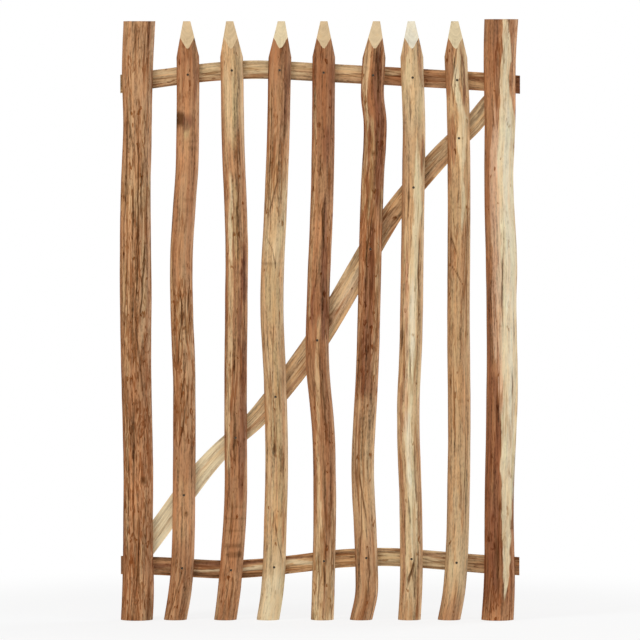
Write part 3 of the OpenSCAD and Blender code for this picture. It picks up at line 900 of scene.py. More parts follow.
LOOKS["picket_7"] = Look(
    "picket_wood", "cream", 9,
    {0: "fawn", 60: "tan", 140: "pale", 220: "tan", 380: "tan", 480: "oak", 960: "oak",
     1100: "oak", 1200: "honey", 1400: "tan", 1500: "fawn"},
    [("cream", 0.9, 980, 8, 5, 1050, 10, 10, 1150, 7, 9, 1180, 5, 5),
     ("cream", 1, 1140, 6, 14, 1200, 8, 26, 1260, 10, 22, 1300, 2, 16, 1340, -4, 16, 1390, 4, 12,
      1450, 12, 8), ("pale", 0.8, 1320, 24, 8, 1400, 24, 12, 1460, 18, 10),
     ("russet", 0.9, 1140, -12, 6, 1200, -15, 12, 1270, -14, 8),
     ("plum", 0.8, 1290, 14, 6, 1330, 16, 8, 1380, 20, 5, 1425, 14, 4),
     ("umber", 0.7, 1290, -12, 3, 1340, -14, 4, 1390, -6, 4, 1440, 4, 3),
     ("russet", 0.9, 1310, -24, 8, 1370, -20, 16, 1430, -14, 22, 1490, -8, 20),
     ("russet", 0.6, 1090, -24, 10, 1180, -22, 10, 1260, -24, 8),
     ("brown", 0.5, 740, 12, 18, 900, 8, 20, 1000, 16, 12),
     ("brown", 0.65, 860, -16, 10, 910, -14, 16, 960, -18, 10),
     ("brown", 0.4, 480, 12, 8, 700, 10, 14), ("brown", 0.5, -5, 4, 36, 30, 4, 30, 60, 4, 20),
     ("pale", 0.5, 80, 10, 16, 200, 2, 20, 330, -6, 16)],
    [(1.4, 845, 8, 3, 870, -4, 4, 890, -20, 3), (1.3, 915, -4, 3, 935, -11, 4, 960, -20, 4),
     (0.8, 1300, -12, 2.5, 1350, -6, 3, 1390, 2, 2.5)],
    [],
    {0: 0.1, 300: 0.1, 450: 0.12, 700: 0.35, 1000: 0.25, 1500: 0.2})
LOOKS["top_rail"] = Look(
    "rail_wood", "fawn", 10,
    {0: "olive", 90: "tan", 180: "tan", 250: "pale", 330: "pale", 380: "cream", 430: "pale",
     510: "tan", 580: "tan", 640: "fawn", 690: "russet", 730: "russet", 790: "fawn",
     890: "honey", 960: "brown", 1010: "russet"},
    [("pale", 0.75, 60, 14, 6, 160, 12, 16, 280, 12, 18, 420, 12, 16),
     ("pale", 0.7, 420, 12, 8, 520, 10, 16, 650, 10, 14, 760, 14, 6),
     ("brown", 0.6, 60, -16, 8, 200, -18, 12, 400, -17, 13, 620, -16, 14, 900, -16, 14),
     ("umber", 0.7, -5, 8, 40, 6, 4, 30, 12, 0, 10),
     ("olive", 0.5, 190, 8, 10, 270, -4, 10, 340, 2, 6),
     ("fawn", 0.6, 420, 4, 6, 500, -2, 10, 560, 4, 6),
     ("umber", 0.65, 290, -21, 4, 380, -21, 5, 640, -21, 4),
     ("umber", 0.5, 60, -21, 4, 140, -21, 5, 240, -20, 3),
     ("umber", 0.55, 640, 4, 4, 680, 2, 6, 720, 4, 4),
     ("umber", 0.5, 80, 2, 3, 130, -2, 4, 190, 0, 3),
     ("umber", 0.5, 730, -4, 3, 790, -2, 5, 850, -6, 3),
     ("russet", 0.5, 740, -8, 8, 800, -4, 12, 860, 0, 8),
     ("russet", 0.6, 860, 8, 12, 960, 4, 18), ("plum", 0.8, 985, 0, 40, 1010, 0, 50)],
    [(0.7, 200, 0, 2.5, 230, -6, 3, 280, -14, 2.5),
     (0.7, 520, -6, 2.5, 560, -2, 3, 610, -8, 2.5),
     (0.7, 660, -4, 2.5, 700, -12, 3, 740, -6, 2.5)],
    [],
    {0: 0.3, 1010: 0.5})
LOOKS["bottom_rail"] = Look(
    "rail_wood", "fawn", 11,
    {0: "brown", 90: "fawn", 300: "fawn", 420: "honey", 520: "honey", 600: "honey", 650: "pale",
     740: "pale", 830: "pale", 880: "tan", 950: "honey", 1010: "brown"},
    [("cream", 1, 170, -6, 3, 230, -3, 6, 320, 0, 10, 370, 2, 14, 430, 8, 6),
     ("cream", 0.8, 410, 12, 5, 440, 5, 10, 500, -6, 12, 540, -15, 8),
     ("umber", 0.8, 90, -19, 5, 200, -17, 9, 330, -16, 11, 400, -18, 6),
     ("umber", 0.6, 60, 18, 5, 180, 18, 7, 330, 18, 6, 430, 19, 4),
     ("plum", 0.75, 60, 0, 12, 160, 6, 10, 280, 15, 12, 460, 16, 8),
     ("pink", 0.7, 590, 6, 12, 605, 4, 20, 612, 0, 10),
     ("umber", 0.5, -5, 0, 40, 6, 0, 30, 14, 0, 10),
     ("russet", 0.6, 420, -16, 8, 460, -18, 6, 500, -20, 4),
     ("russet", 0.6, 460, 16, 8, 520, 8, 8, 580, -2, 6),
     ("plum", 0.6, 500, 18, 6, 560, 14, 8, 590, 10, 5),
     ("brown", 0.6, 640, 14, 8, 760, 16, 10, 900, 15, 8),
     ("olive", 0.5, 640, 0, 30, 700, 0, 30, 740, 0, 20),
     ("brown", 0.5, 730, 14, 6, 800, 8, 10, 860, 12, 6),
     ("umber", 0.55, 640, -18, 4, 740, -19, 6, 860, -18, 4),
     ("russet", 0.6, 880, -6, 16, 960, 0, 30, 1010, 0, 50)],
    [(0.8, 90, -8, 2.5, 160, -10, 3, 240, -9, 2.5),
     (0.8, 300, -6, 2.5, 380, -5, 3.5, 470, -12, 2.5),
     (0.6, 740, 4, 2.5, 790, -4, 3, 840, 0, 2.5)],
    [],
    {0: 0.4, 1010: 0.5})
LOOKS["brace"] = Look(
    "brace_wood", "tan", 12,
    {0: "milk", 60: "milk", 330: "cream", 450: "pale", 560: "tan", 640: "tan", 720: "pale",
     780: "tan", 830: "tan", 950: "pale", 1040: "fawn", 1090: "honey", 1180: "tan", 1300: "tan",
     1380: "pale", 1465: "pale"},
    [("pink", 0.4, 640, -8, 10, 760, -6, 20, 900, -6, 20, 980, -4, 12),
     ("cream", 0.35, 780, 4, 10, 860, 2, 18, 960, 4, 12),
     ("fawn", 0.5, 200, 10, 4, 280, 4, 6, 350, 10, 4),
     ("fawn", 0.75, 380, -10, 10, 430, -12, 14, 490, -8, 8),
     ("russet", 0.75, 530, -16, 6, 600, -18, 12, 680, -20, 6),
     ("russet", 0.6, 740, 8, 8, 770, 2, 14, 800, -6, 6),
     ("umber", 0.65, 1030, 12, 6, 1060, 8, 8, 1090, 2, 4),
     ("umber", 0.5, 1035, -10, 4, 1065, -14, 7, 1090, -18, 4),
     ("russet", 0.6, 1140, -16, 8, 1200, -14, 12, 1270, -18, 8),
     ("umber", 0.55, 1340, 10, 4, 1390, 4, 8, 1440, 12, 6),
     ("pale", 0.6, 1220, 12, 10, 1300, 8, 16, 1380, 0, 8),
     ("umber", 0.6, 930, 16, 3, 980, 18, 6, 1020, 14, 4),
     ("umber", 0.45, 870, -2, 3, 900, 2, 5, 930, -2, 3),
     ("brown", 0.4, 150, -21, 4, 230, -22, 5, 310, -21, 4),
     ("umber", 0.4, 330, 20, 4, 420, 21, 6, 500, 20, 4),
     ("brown", 0.5, 1300, 20, 5, 1380, 18, 8, 1450, 20, 5),
     ("umber", 0.5, 880, 21, 4, 930, 22, 6, 980, 20, 3)],
    [(0.8, 740, 14, 2.5, 775, 4, 3.5, 815, 2, 2.5),
     (0.7, 60, -10, 2.5, 120, -6, 3, 180, -10, 2.5),
     (0.8, 1170, -8, 2.5, 1220, -4, 3, 1280, -8, 2.5)],
    [(757, -2, 7), (168, -22, 5), (1062, -12, 5)],
    {0: 0.1, 700: 0.2, 1000: 0.2, 1100: 0.35, 1465: 0.4})


# ---------------------------------------------------------------- materials of the wood

YEAR = 0.0022       # the width of a year ring, in metres

def material_tree(name):
    """An empty material and its tree."""
    material = bpy.data.materials.new(name)
    material.use_nodes = True
    material.node_tree.nodes.clear()
    return material, Tree(material.node_tree)


def attribute(tree, name):
    """A named attribute, in a material."""
    return tree.add("ShaderNodeAttribute", {"attribute_name": name})


def end_material(tree, colour, roughness, height, bump_depth, specular=0.03, metallic=0.0):
    """Ends a material with a shader of a colour, a roughness and a bump of a height field."""
    normal = tree.add("ShaderNodeBump", {}, {
        "Strength": 1.0, "Distance": bump_depth, "Height": height})["Normal"]
    shader = tree.add("ShaderNodeBsdfPrincipled", {}, {
        "Base Color": colour, "Roughness": roughness, "Metallic": metallic,
        "Specular IOR Level": specular, "Normal": normal})
    tree.add("ShaderNodeOutputMaterial", {}, {"Surface": shader["BSDF"]})


def wood_inputs(tree):
    """The wood's own place, its colour and how furrowed it is."""
    return (attribute(tree, "grain")["Vector"], attribute(tree, "tint")["Color"],
            attribute(tree, "furrowed")["Fac"])


def calmness(tint):
    """1 where the wood is pale, which has fewer marks, and 0 where it is brown."""
    return tint.part("Y").ease(0.30, 0.62)


def year_rings(tree, grain):
    """Early and late wood, from 0 to 1, in rings round the middle of the tree."""
    sway = grown(tree, grain, FEATURES["ring_sway"]) - 0.5
    across = grain.part("X") + sway * 0.016
    depth = grain.part("Y") + sway * 0.010
    distance = (across * across + depth * depth).root()
    return tree.noise(tree.vector(distance / YEAR, sway * 3, grain.part("Z") / 0.5), 1.0)


def lines(tree, grain, across, along, width, share):
    """Wavy lines between the strands of the wood, from 0 to 1, over a share of its face."""
    line = abs(grown(tree, grain, Feature(across, along, 2.0, 0.55, 0.5)) - 0.5)
    place = grown(tree, grain, Feature(across * 3, along, 1.5, begin=(3, 8, 2)))
    return line.ease(width, width * 0.3) * place.ease(0.70 - share * 0.40, 0.76 - share * 0.40)


def slits(tree, grain, density):
    """Short dark drying cracks along the fibres, from 0 to 1."""
    line = abs(grown(tree, grain, FEATURES["slit"]) - 0.5)
    place = grown(tree, grain, FEATURES["slit_place"])
    return line.ease(0.07, 0.025) * place.ease(0.70 - density * 0.16, 0.75 - density * 0.16)


def dashes(tree, grain, density):
    """Short dark dashes along the fibres, with sharp edges, from 0 to 1."""
    dash = grown(tree, grain, FEATURES["dash"])
    edge = 0.79 - density * 0.155 - (grown(tree, grain, FEATURES["dash_place"]) - 0.5) * 0.35
    return (dash - edge).ease(0.0, 0.035)


def strands(tree, grain, contrast):
    """How light the wood is: bands, strands and fine fibres along it, about 1."""
    band, strand, fibre, speck = (
        grown(tree, grain, FEATURES[name]) for name in ("band", "strand", "fine_strand", "speck"))
    light = (band - 0.5) * 1.0 + (strand - 0.5) * 1.3 + (fibre - 0.5) * 1.2 + (speck - 0.5) * 0.9
    light = light.smallest(0) * 1.15 + light.largest(0) * 0.5
    return 1.03 + light * contrast, band, strand, fibre


def peeled_wood():
    """The round face under the bark: streaks and furrows along the stem, and drying cracks."""
    _, tree = material_tree("peeled_wood")
    grain, tint, furrowed = wood_inputs(tree)
    calm = calmness(tint)
    light, band, strand, fibre = strands(tree, grain, 1.05 - calm * 0.60)
    colour = tint * light
    warm = grown(tree, grain, FEATURES["warmth"])
    colour = tree.toned(colour, warm.ease(0.45, 0.65) * 0.5, (1.07, 0.90, 0.74))
    colour = tree.toned(colour, warm.ease(0.48, 0.32) * 0.4, (0.97, 1.05, 0.95))
    furrow = furrows(tree, grain) * furrowed
    slit = slits(tree, grain, furrowed)
    long_line = lines(tree, grain, 0.0110, 0.30, 0.055, 0.33 + furrowed * 0.25)
    short_line = lines(tree, grain, 0.0068, 0.070, 0.06, 0.13 + furrowed * 0.7)
    dash = dashes(tree, grain, furrowed)
    dark = (furrow * 0.75).largest(slit * 0.85).largest(
        long_line * 0.65).largest(short_line * (0.40 + furrowed * 0.35))
    dark = dark.largest(dash * 0.70) * (1 - calm * 0.40)
    colour = tree.toned(colour, dark, (0.40, 0.19, 0.04))
    height = (1.0 + (strand - 0.5) * 0.5 + (fibre - 0.5) * 0.7 - furrow * 0.8 - slit
              - long_line * 0.5 - short_line * 0.3 - dash * 0.6)
    end_material(tree, colour, 0.66 + (band - 0.5) * 0.25 + dark * 0.15, height, 0.0007)


def split_wood():
    """The flat face that the splitting left: torn fibres, year rings and a few splinters."""
    _, tree = material_tree("split_wood")
    grain, tint, furrowed = wood_inputs(tree)
    calm = calmness(tint)
    light, band, strand, fibre = strands(tree, grain, 0.95 - calm * 0.60)
    ring = year_rings(tree, grain)
    colour = tint * (light + (ring - 0.5) * 0.45)
    colour = tree.toned(colour, band.ease(0.48, 0.66) * 0.45, (1.04, 0.88, 0.70))
    slit = slits(tree, grain, furrowed)
    long_line = lines(tree, grain, 0.0095, 0.24, 0.06, 0.50 + furrowed * 0.4)
    torn = tears(tree, grain)
    dash = dashes(tree, grain, furrowed)
    dark = (slit * 0.7).largest(torn.ease(0.75, 1.0) * 0.3).largest(
        long_line * (0.50 + furrowed * 0.3)).largest(dash * 0.6) * (1 - calm * 0.60)
    colour = tree.toned(colour, dark, (0.40, 0.20, 0.06))
    height = (1.0 + (fibre - 0.5) + (strand - 0.5) * 0.5 + (ring - 0.5) * 0.4 - slit
              - long_line * 0.5)
    end_material(tree, colour, 0.72 + (band - 0.5) * 0.2 + dark * 0.1, height, 0.0008)


def sawn_wood():
    """A fresh cut: year rings, a few cracks towards the middle, and the fine marks of the saw."""
    _, tree = material_tree("sawn_wood")
    grain, tint, _ = wood_inputs(tree)
    ring = year_rings(tree, grain)
    fibre = grown(tree, grain, FEATURES["sawn_fibre"])
    patch = tree.noise(grain / 0.018, 2.0)
    angle = tree.add("ShaderNodeMath", {"operation": "ARCTAN2"}, {
        0: grain.part("X"), 1: grain.part("Y")})[0]
    check = abs(tree.noise(tree.vector(angle / 0.35, grain.part("X") / 0.06, 4.0), 1.0) - 0.5)
    check = check.ease(0.012, 0.0) * tree.noise(grain / 0.03, 1.0).ease(0.50, 0.60)
    colour = tint * (1.0 + (ring - 0.5) * 0.40 + (fibre - 0.5) * 0.22 + (patch - 0.5) * 0.30)
    colour = tree.toned(colour, patch.ease(0.55, 0.70) * 0.35, (1.0, 0.92, 0.80))
    colour = tree.toned(colour, check * 0.7, (0.45, 0.30, 0.20))
    height = 1.0 + (ring - 0.5) * 0.5 + (fibre - 0.5) * 0.4 - check
    end_material(tree, colour, 0.70 + (ring - 0.5) * 0.2, height, 0.0004)


def screw_metal(colour):
    """Dull coated steel, with darker dirt in patches."""
    material, tree = material_tree("dull_screw_metal")
    place = tree.add("ShaderNodeTexCoord")["Object"]
    grime = tree.noise(place / 0.0016, 2.0)
    shade = tree.mix(grime.ease(0.40, 0.65), tuple(colour), tuple(0.35 * c for c in colour))
    end_material(tree, shade, 0.5 + grime * 0.3, grime, 0.0001, 0.3, 0.6)
    return material


# ---------------------------------------------------------------- making a pole


def loft_tree():
    """Rings of points along a line, round on one side and flat on the other, joined up."""
    tree, given = new_geometry_tree("pole_loft", {
        "Int": ["Round points", "Flat points"], "Vector": ["Facing", "Side", "Along"],
        "Float": ["Crown"], "Material": ["Peeled wood", "Split wood", "Sawn wood"]})
    round_points, flat_points = given["Round points"], given["Flat points"]
    index = tree.add("GeometryNodeInputIndex")[0]
    on_back = index > round_points - 0.5
    turn = (index / (round_points - 1) - 0.5) * math.pi
    back_across = 1 - (index - round_points + 1) / (flat_points + 1) * 2
    ring = tree.vector(
        turn.cosine().largest(0) * (1 - on_back),
        turn.sine() * (1 - on_back) + back_across * on_back, on_back)
    circle = tree.add("GeometryNodeCurvePrimitiveCircle", {}, {
        "Resolution": round_points + flat_points, "Radius": 1.0})["Curve"]
    circle = tree.stored(circle, "ring", "FLOAT_VECTOR", ring)
    circle = tree.add("GeometryNodeSetPosition", {}, {
        "Geometry": circle, "Position": ring * (0.01, 0.01, 0)})
    line = tree.add("GeometryNodeMeshToCurve", {}, {"Mesh": given["Geometry"]})
    line = tree.add("GeometryNodeSetCurveNormal", {"mode": "FREE"}, {
        "Curve": line, "Normal": given["Facing"]})
    skin = tree.add("GeometryNodeCurveToMesh", {}, {
        "Curve": line, "Profile Curve": circle, "Fill Caps": True})
    ring = tree.named("ring", "FLOAT_VECTOR")
    half = tree.named("half", "FLOAT")
    across = ring.part("Y") * half
    depth = ring.part("X") * half * given["Crown"]
    skin = tree.add("GeometryNodeSetPosition", {}, {
        "Geometry": skin, "Position": tree.named("middle", "FLOAT_VECTOR")
        + given["Side"] * across + given["Facing"] * depth})
    skin = tree.stored(skin, "place", "FLOAT_VECTOR",
                       tree.vector(across, depth, tree.named("length", "FLOAT")))
    out = (given["Side"] * (ring.part("Y") * (1 - ring.part("Z")))
           + given["Facing"] * (ring.part("X") - ring.part("Z")))
    skin = tree.stored(skin, "out", "FLOAT_VECTOR", out)
    lengthwise = tree.add("ShaderNodeVectorMath", {"operation": "DOT_PRODUCT"}, {
        0: tree.add("GeometryNodeInputNormal")[0], 1: given["Along"]})["Value"]
    set_materials(tree, skin, [
        (given["Peeled wood"], True), (given["Split wood"], ring.part("Z") > 0.3),
        (given["Sawn wood"], abs(lengthwise) > 0.9)])


def weathering_tree():
    """Moves a pole's skin: lumps, furrows, cracks and fibres, and the tears of its flat face."""
    tree, given = new_geometry_tree("pole_weathering", {
        "Float": ["Lump height", "Furrow depth", "Fibre height", "Tear depth"]})
    grain = tree.named("grain", "FLOAT_VECTOR")
    ring = tree.named("ring", "FLOAT_VECTOR")
    crown, back = ring.part("X"), ring.part("Z")
    furrow = furrows(tree, grain) * tree.named("furrowed", "FLOAT") * (0.35 + crown * 0.65)
    lump = grown(tree, grain, FEATURES["lump"]) - 0.5
    fibre = grown(tree, grain, FEATURES["fibre"]) - 0.5
    rounded = (lump * given["Lump height"] * 2 - furrow * given["Furrow depth"]
               + fibre * given["Fibre height"] * 2 + tree.named("raised", "FLOAT"))
    torn = tears(tree, grain) * 0.75 + grown(tree, grain, FEATURES["torn_fibre"]) * 0.35
    flat = 0 - torn * given["Tear depth"]
    push = tree.blend(back, rounded, flat)
    moved = tree.add("GeometryNodeSetPosition", {}, {
        "Geometry": given["Geometry"], "Offset": tree.named("out", "FLOAT_VECTOR") * push})
    set_materials(tree, moved, [])


def read(items, name, width=1):
    """One property of all items, as an array: a row of numbers for each, or a whole number."""
    values = np.zeros(len(items) * width, int if width == 1 else float)
    items.foreach_get(name, values)
    return values.reshape(-1, width) if width > 1 else values


def read_places(mesh):
    """The place of each of a mesh's points in the straightened pole."""
    return read(mesh.attributes["place"].data, "vector", 3)


def write_points(mesh, name, values):
    """Stores an array as a named attribute of a mesh's points."""
    vector = values.ndim == 2
    old = mesh.attributes.get(name)
    if old:
        mesh.attributes.remove(old)
    layer = mesh.attributes.new(name, "FLOAT_VECTOR" if vector else "FLOAT", "POINT")
    layer.data.foreach_set("vector" if vector else "value", values.astype(np.float32).ravel())


def in_order(mesh, materials):
    """Gives a mesh these materials, in this order, whatever order its own have."""
    places = [materials.index(m) if m in materials else 0 for m in mesh.materials]
    kinds = read(mesh.polygons, "material_index")
    mesh.materials.clear()
    for material in materials:
        mesh.materials.append(material)
    mesh.polygons.foreach_set("material_index", np.array(places)[kinds])


def path_object(pole, gap):
    """The line along a pole's middle: a point for each ring, with the pole's width there."""
    span = pole.length + 2 * pole.overrun
    lengths = np.linspace(-pole.overrun, pole.length + pole.overrun, round(span / gap) + 1)
    middles = np.array([pole.point(s) for s in lengths])
    mesh = bpy.data.meshes.new("path")
    edges = [(i, i + 1) for i in range(len(lengths) - 1)]
    mesh.from_pydata(middles.tolist(), edges, [])
    write_points(mesh, "middle", middles)
    write_points(mesh, "length", lengths)
    write_points(mesh, "half", pole.half_at(lengths))
    return linked(bpy.data.objects.new("path", mesh))


def cut_off(mesh, cuts):
    """Saws pieces off a mesh. Each cut is a point and a normal towards what falls off."""
    bm = bmesh.new()
    bm.from_mesh(mesh)
    for point, normal in cuts:
        geometry = bm.verts[:] + bm.edges[:] + bm.faces[:]
        done = bmesh.ops.bisect_plane(
            bm, geom=geometry, plane_co=point, plane_no=normal, clear_outer=True)
        rim = [e for e in done["geom_cut"] if isinstance(e, bmesh.types.BMEdge)]
        if not rim:
            raise RuntimeError(f"{mesh.name}: a cut missed the wood")
        for face in bmesh.ops.edgenet_fill(bm, edges=rim)["faces"]:
            face.material_index = SAWN
    bm.to_mesh(mesh)
    bm.free()


def sharpen_borders(mesh):
    """Smooth faces, with sharp edges where one kind of face meets another."""
    bm = bmesh.new()
    bm.from_mesh(mesh)
    for face in bm.faces:
        face.smooth = True
    for edge in bm.edges:
        kinds = {face.material_index for face in edge.link_faces}
        edge.smooth = len(kinds) == 1 and (
            SAWN not in kinds or edge.calc_face_angle(0) < math.radians(25))
    bm.to_mesh(mesh)
    bm.free()


LEVEL = 1e-5                # depths of a screw's points are told apart to this, in metres
TIP_REACH = 0.2 * MM        # how far from a screw's tip its last points may lie
SCREW_GAP = 5 * MM          # two screws of one pole are further apart than this
DRILL_ABOVE = 20 * MM       # how far the drill stands out of the wood over the head
DRILL_STEP = 0.01 * MM      # how thick its step from the head's width to the shank's is
DRILL_BELOW = 1 * MM        # how much deeper than the screw's tip it goes


class Hole:
    """A screw's hole, as the frame's screw has it."""

    def __init__(self, points, head_to_front):
        low, high = points.min(0), points.max(0)
        self.x, self.z = (low[0] + high[0]) / 2, (low[2] + high[2]) / 2
        self.head_radius = (high[0] - low[0]) / 2
        self.inwards = 1 if head_to_front else -1
        self.head_y, self.tip_y = (low[1], high[1]) if head_to_front else (high[1], low[1])
        levels = np.unique(np.round(points[:, 1] / LEVEL))
        self.under_y = (levels if head_to_front else levels[::-1])[1] * LEVEL
        shank = points[np.abs(points[:, 1] - self.tip_y) < TIP_REACH]
        self.shank_radius = (shank[:, 0].max() - shank[:, 0].min()) / 2


def find_holes():
    """The hole of every screw in the frame."""
    holes = []
    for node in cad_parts:
        if not node.endswith("_screws"):
            continue
        points = read(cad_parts[node].data.vertices, "co", 3)
        points = points[np.argsort(points[:, 2])]
        splits = np.where(np.diff(points[:, 2]) > SCREW_GAP)[0] + 1
        for cluster in np.split(points, splits):
            holes.append(Hole(cluster, node.startswith("picket")))
    return holes


def lathe(bm, profile, x, z, sides=24):
    """A closed turned shape round a line along Y, from (radius, y) steps."""
    turns = [2 * math.pi * i / sides for i in range(sides)]
    rings = [[bm.verts.new((x + radius * math.cos(turn), y, z + radius * math.sin(turn)))
              for turn in turns] for radius, y in profile]
    for a, b in zip(rings, rings[1:]):
        for i in range(sides):
            j = (i + 1) % sides
            bm.faces.new((a[i], a[j], b[j], b[i]))
    bm.faces.new(rings[0])
    bm.faces.new(rings[-1][::-1])
    bmesh.ops.recalc_face_normals(bm, faces=bm.faces[:])


def new_object(name, bm):
    """An object at the origin from a bmesh, in the scene."""
    mesh = bpy.data.meshes.new(name)
    bm.to_mesh(mesh)
    bm.free()
    return linked(bpy.data.objects.new(name, mesh))


def carve(obj, cutter, solver):
    """Takes the cutter's shape out of an object, and deletes the cutter."""
    modifier = obj.modifiers.new("Carve", "BOOLEAN")
    modifier.operation, modifier.solver, modifier.object = "DIFFERENCE", solver, cutter
    modifier.use_self = solver == "EXACT"
    carved = finished_mesh(obj)
    carved.name = obj.data.name
    obj.modifiers.remove(modifier)
    obj.data = carved
    bpy.data.objects.remove(cutter)


def drill(obj, pole, holes, gap):
    """Drills the holes of the screws that go through a pole."""
    bm = bmesh.new()
    for hole in holes:
        place = pole.wood_places(np.array([[hole.x, (hole.head_y + hole.tip_y) / 2, hole.z]]))[0]
        if abs(place[0]) > pole.half_at(place[2]) or not 0 < place[2] < pole.length:
            continue
        wide, narrow, inwards = hole.head_radius + gap, hole.shank_radius + gap, hole.inwards
        lathe(bm, [(wide, hole.head_y - inwards * DRILL_ABOVE), (wide, hole.under_y),
                   (narrow, hole.under_y + inwards * DRILL_STEP),
                   (narrow, hole.tip_y + inwards * DRILL_BELOW)], hole.x, hole.z)
    for face in bm.faces:
        face.material_index = SAWN
    cutter = new_object("drill", bm)
    for material in obj.data.materials:
        cutter.data.materials.append(material)
    carve(obj, cutter, "MANIFOLD")


def tip_cuts(pole, tips):
    """The two side cuts and the front cut that point a picket."""
    cuts = []
    top, low = pole.length - INSET, pole.length - tips.side_cut * 0.75
    for way, (at_top, at_low) in zip((-1, 1), zip(pole.edges(top), pole.edges(low))):
        run = pole.along * (top - low) + pole.side * (at_top - at_low)
        cuts.append((pole.start + pole.along * top + pole.side * at_top,
                     pole.facing.cross(run).normalized() * -way))
    begin = pole.length - tips.front_cut
    depth = float(pole.half_at(begin)) * pole.crown
    run = pole.along * tips.front_cut + pole.facing * (tips.thickness - depth)
    cuts.append((pole.start + pole.along * begin + pole.facing * depth,
                 pole.side.cross(run).normalized()))
    return cuts


def write_wood(mesh, look, places, shift):
    """Stores the wood's own place, and how furrowed it is, on a mesh's points."""
    write_points(mesh, "grain", round_knots(look, places) + shift)
    write_points(mesh, "furrowed", roughness_at(look, places[:, 2]))


def colour_wood(mesh, pole, look, shift):
    """Stores the wood's own place and its colour on a finished pole."""
    places = read_places(mesh)
    lost = np.abs(places).max(1) < 1e-9     # the points that the holes added
    places[lost] = pole.wood_places(read(mesh.vertices, "co", 3)[lost])
    write_wood(mesh, look, places, shift)
    corners = read(mesh.loops, "vertex_index")
    kind = np.repeat(read(mesh.polygons, "material_index"), read(mesh.polygons, "loop_total"))
    shown = painted(look, places, 1.0)
    in_front = SPLIT
    if pole.facing.y < 0:
        in_front = PEELED
        # The uprights' front faces get painted light and shade across them.
        shown = painted_edge_light(shown, places, pole.half_at(places[:, 2]))
    hidden = painted(look, places, 0.45) * 0.6 + base_tone(look, places[:, 2] / MM) * 0.4
    fresh = np.tile(TONES[look.sawn], (len(places), 1))
    tint = np.where((kind == SAWN)[:, None], fresh[corners],
                    np.where((kind == in_front)[:, None], shown[corners], hidden[corners]))
    layer = mesh.color_attributes.new("tint", "FLOAT_COLOR", "CORNER")
    layer.data.foreach_set("color", np.column_stack([tint, np.ones(len(tint))]).ravel())
    for name in ("ring", "out", "middle", "length", "half", "raised", "place"):
        if name in mesh.attributes:
            mesh.attributes.remove(mesh.attributes[name])


def make_pole(pole, look, cuts, name):
    """One pole: its skin, its weathering, its cuts, its screw holes and its colours."""
    scene = bpy.context.scene
    settings, screws = scene.gate_poles, scene.gate_screws
    woods = [bpy.data.materials[n] for n in ("peeled_wood", "split_wood", "sawn_wood")]
    path = path_object(pole, settings.ring_gap)
    mesh = run_geometry_tree(path, bpy.data.node_groups["pole_loft"], {
        "Round points": settings.round_points, "Flat points": settings.flat_points,
        "Facing": pole.facing, "Side": pole.side, "Along": pole.along, "Crown": pole.crown,
        "Peeled wood": woods[PEELED], "Split wood": woods[SPLIT], "Sawn wood": woods[SAWN]}, name)
    bpy.data.objects.remove(path)
    in_order(mesh, woods)
    shift = np.array([0, 0, 7.3 * look.seed])
    places = read_places(mesh)
    write_wood(mesh, look, places, shift)
    fall = ridged(pole, places) if look.slot == "picket_wood" else 0
    write_points(mesh, "raised", raised(look, places) - fall)
    obj = linked(bpy.data.objects.new(name, mesh))
    mesh = run_geometry_tree(obj, bpy.data.node_groups["pole_weathering"], {
        "Lump height": settings.lump_height, "Furrow depth": settings.furrow_depth,
        "Fibre height": settings.fibre_height, "Tear depth": settings.tear_depth}, name)
    cut_off(mesh, cuts)
    obj.data = mesh
    drill(obj, pole, find_holes(), screws.hole_gap)
    sharpen_borders(obj.data)
    colour_wood(obj.data, pole, look, shift)
    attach(obj, BODY)
    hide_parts(pole.node)


def make_woods():
    """The materials and the node trees that every pole shares, made once."""
    if "peeled_wood" not in bpy.data.materials:
        for make in (peeled_wood, split_wood, sawn_wood, loft_tree, weathering_tree):
            make()


# ---------------------------------------------------------------- screws


def screw_head(radius, thickness, settings):
    """A flat screw head with a rounded rim and a cross recess, whose top faces -Y."""
    bm = bmesh.new()
    rim = 0.25 * MM
    lathe(bm, [(radius - rim, 0), (radius - rim * 0.3, rim * 0.3), (radius, rim),
               (radius, thickness * 0.35), (radius * 0.66, thickness)], 0, 0, 28)
    head = new_object("screw_head", bm)
    bm = bmesh.new()
    for turn in (0, math.pi / 2):
        arm = bmesh.ops.create_cube(bm, size=1.0)["verts"]
        for vert in arm:
            deep = vert.co.y > 0
            vert.co = Vector((vert.co.x * settings.recess_width * (0.45 if deep else 1.0),
                              settings.recess_depth if deep else -1 * MM,
                              vert.co.z * (0.35 if deep else 0.8) * MM))
        bmesh.ops.rotate(bm, verts=arm, matrix=Matrix.Rotation(turn, 3, "Y"))
    bmesh.ops.recalc_face_normals(bm, faces=bm.faces[:])
    carve(head, new_object("cross", bm), "EXACT")
    return head


THREAD_LENGTH = 30 * MM
THREAD_END = 0.5 * MM       # from the thread to the screw's tip
THREAD = {"Core radius": 1.45 * MM, "Thread radius": 2.0 * MM, "Pitch": 1.9 * MM}


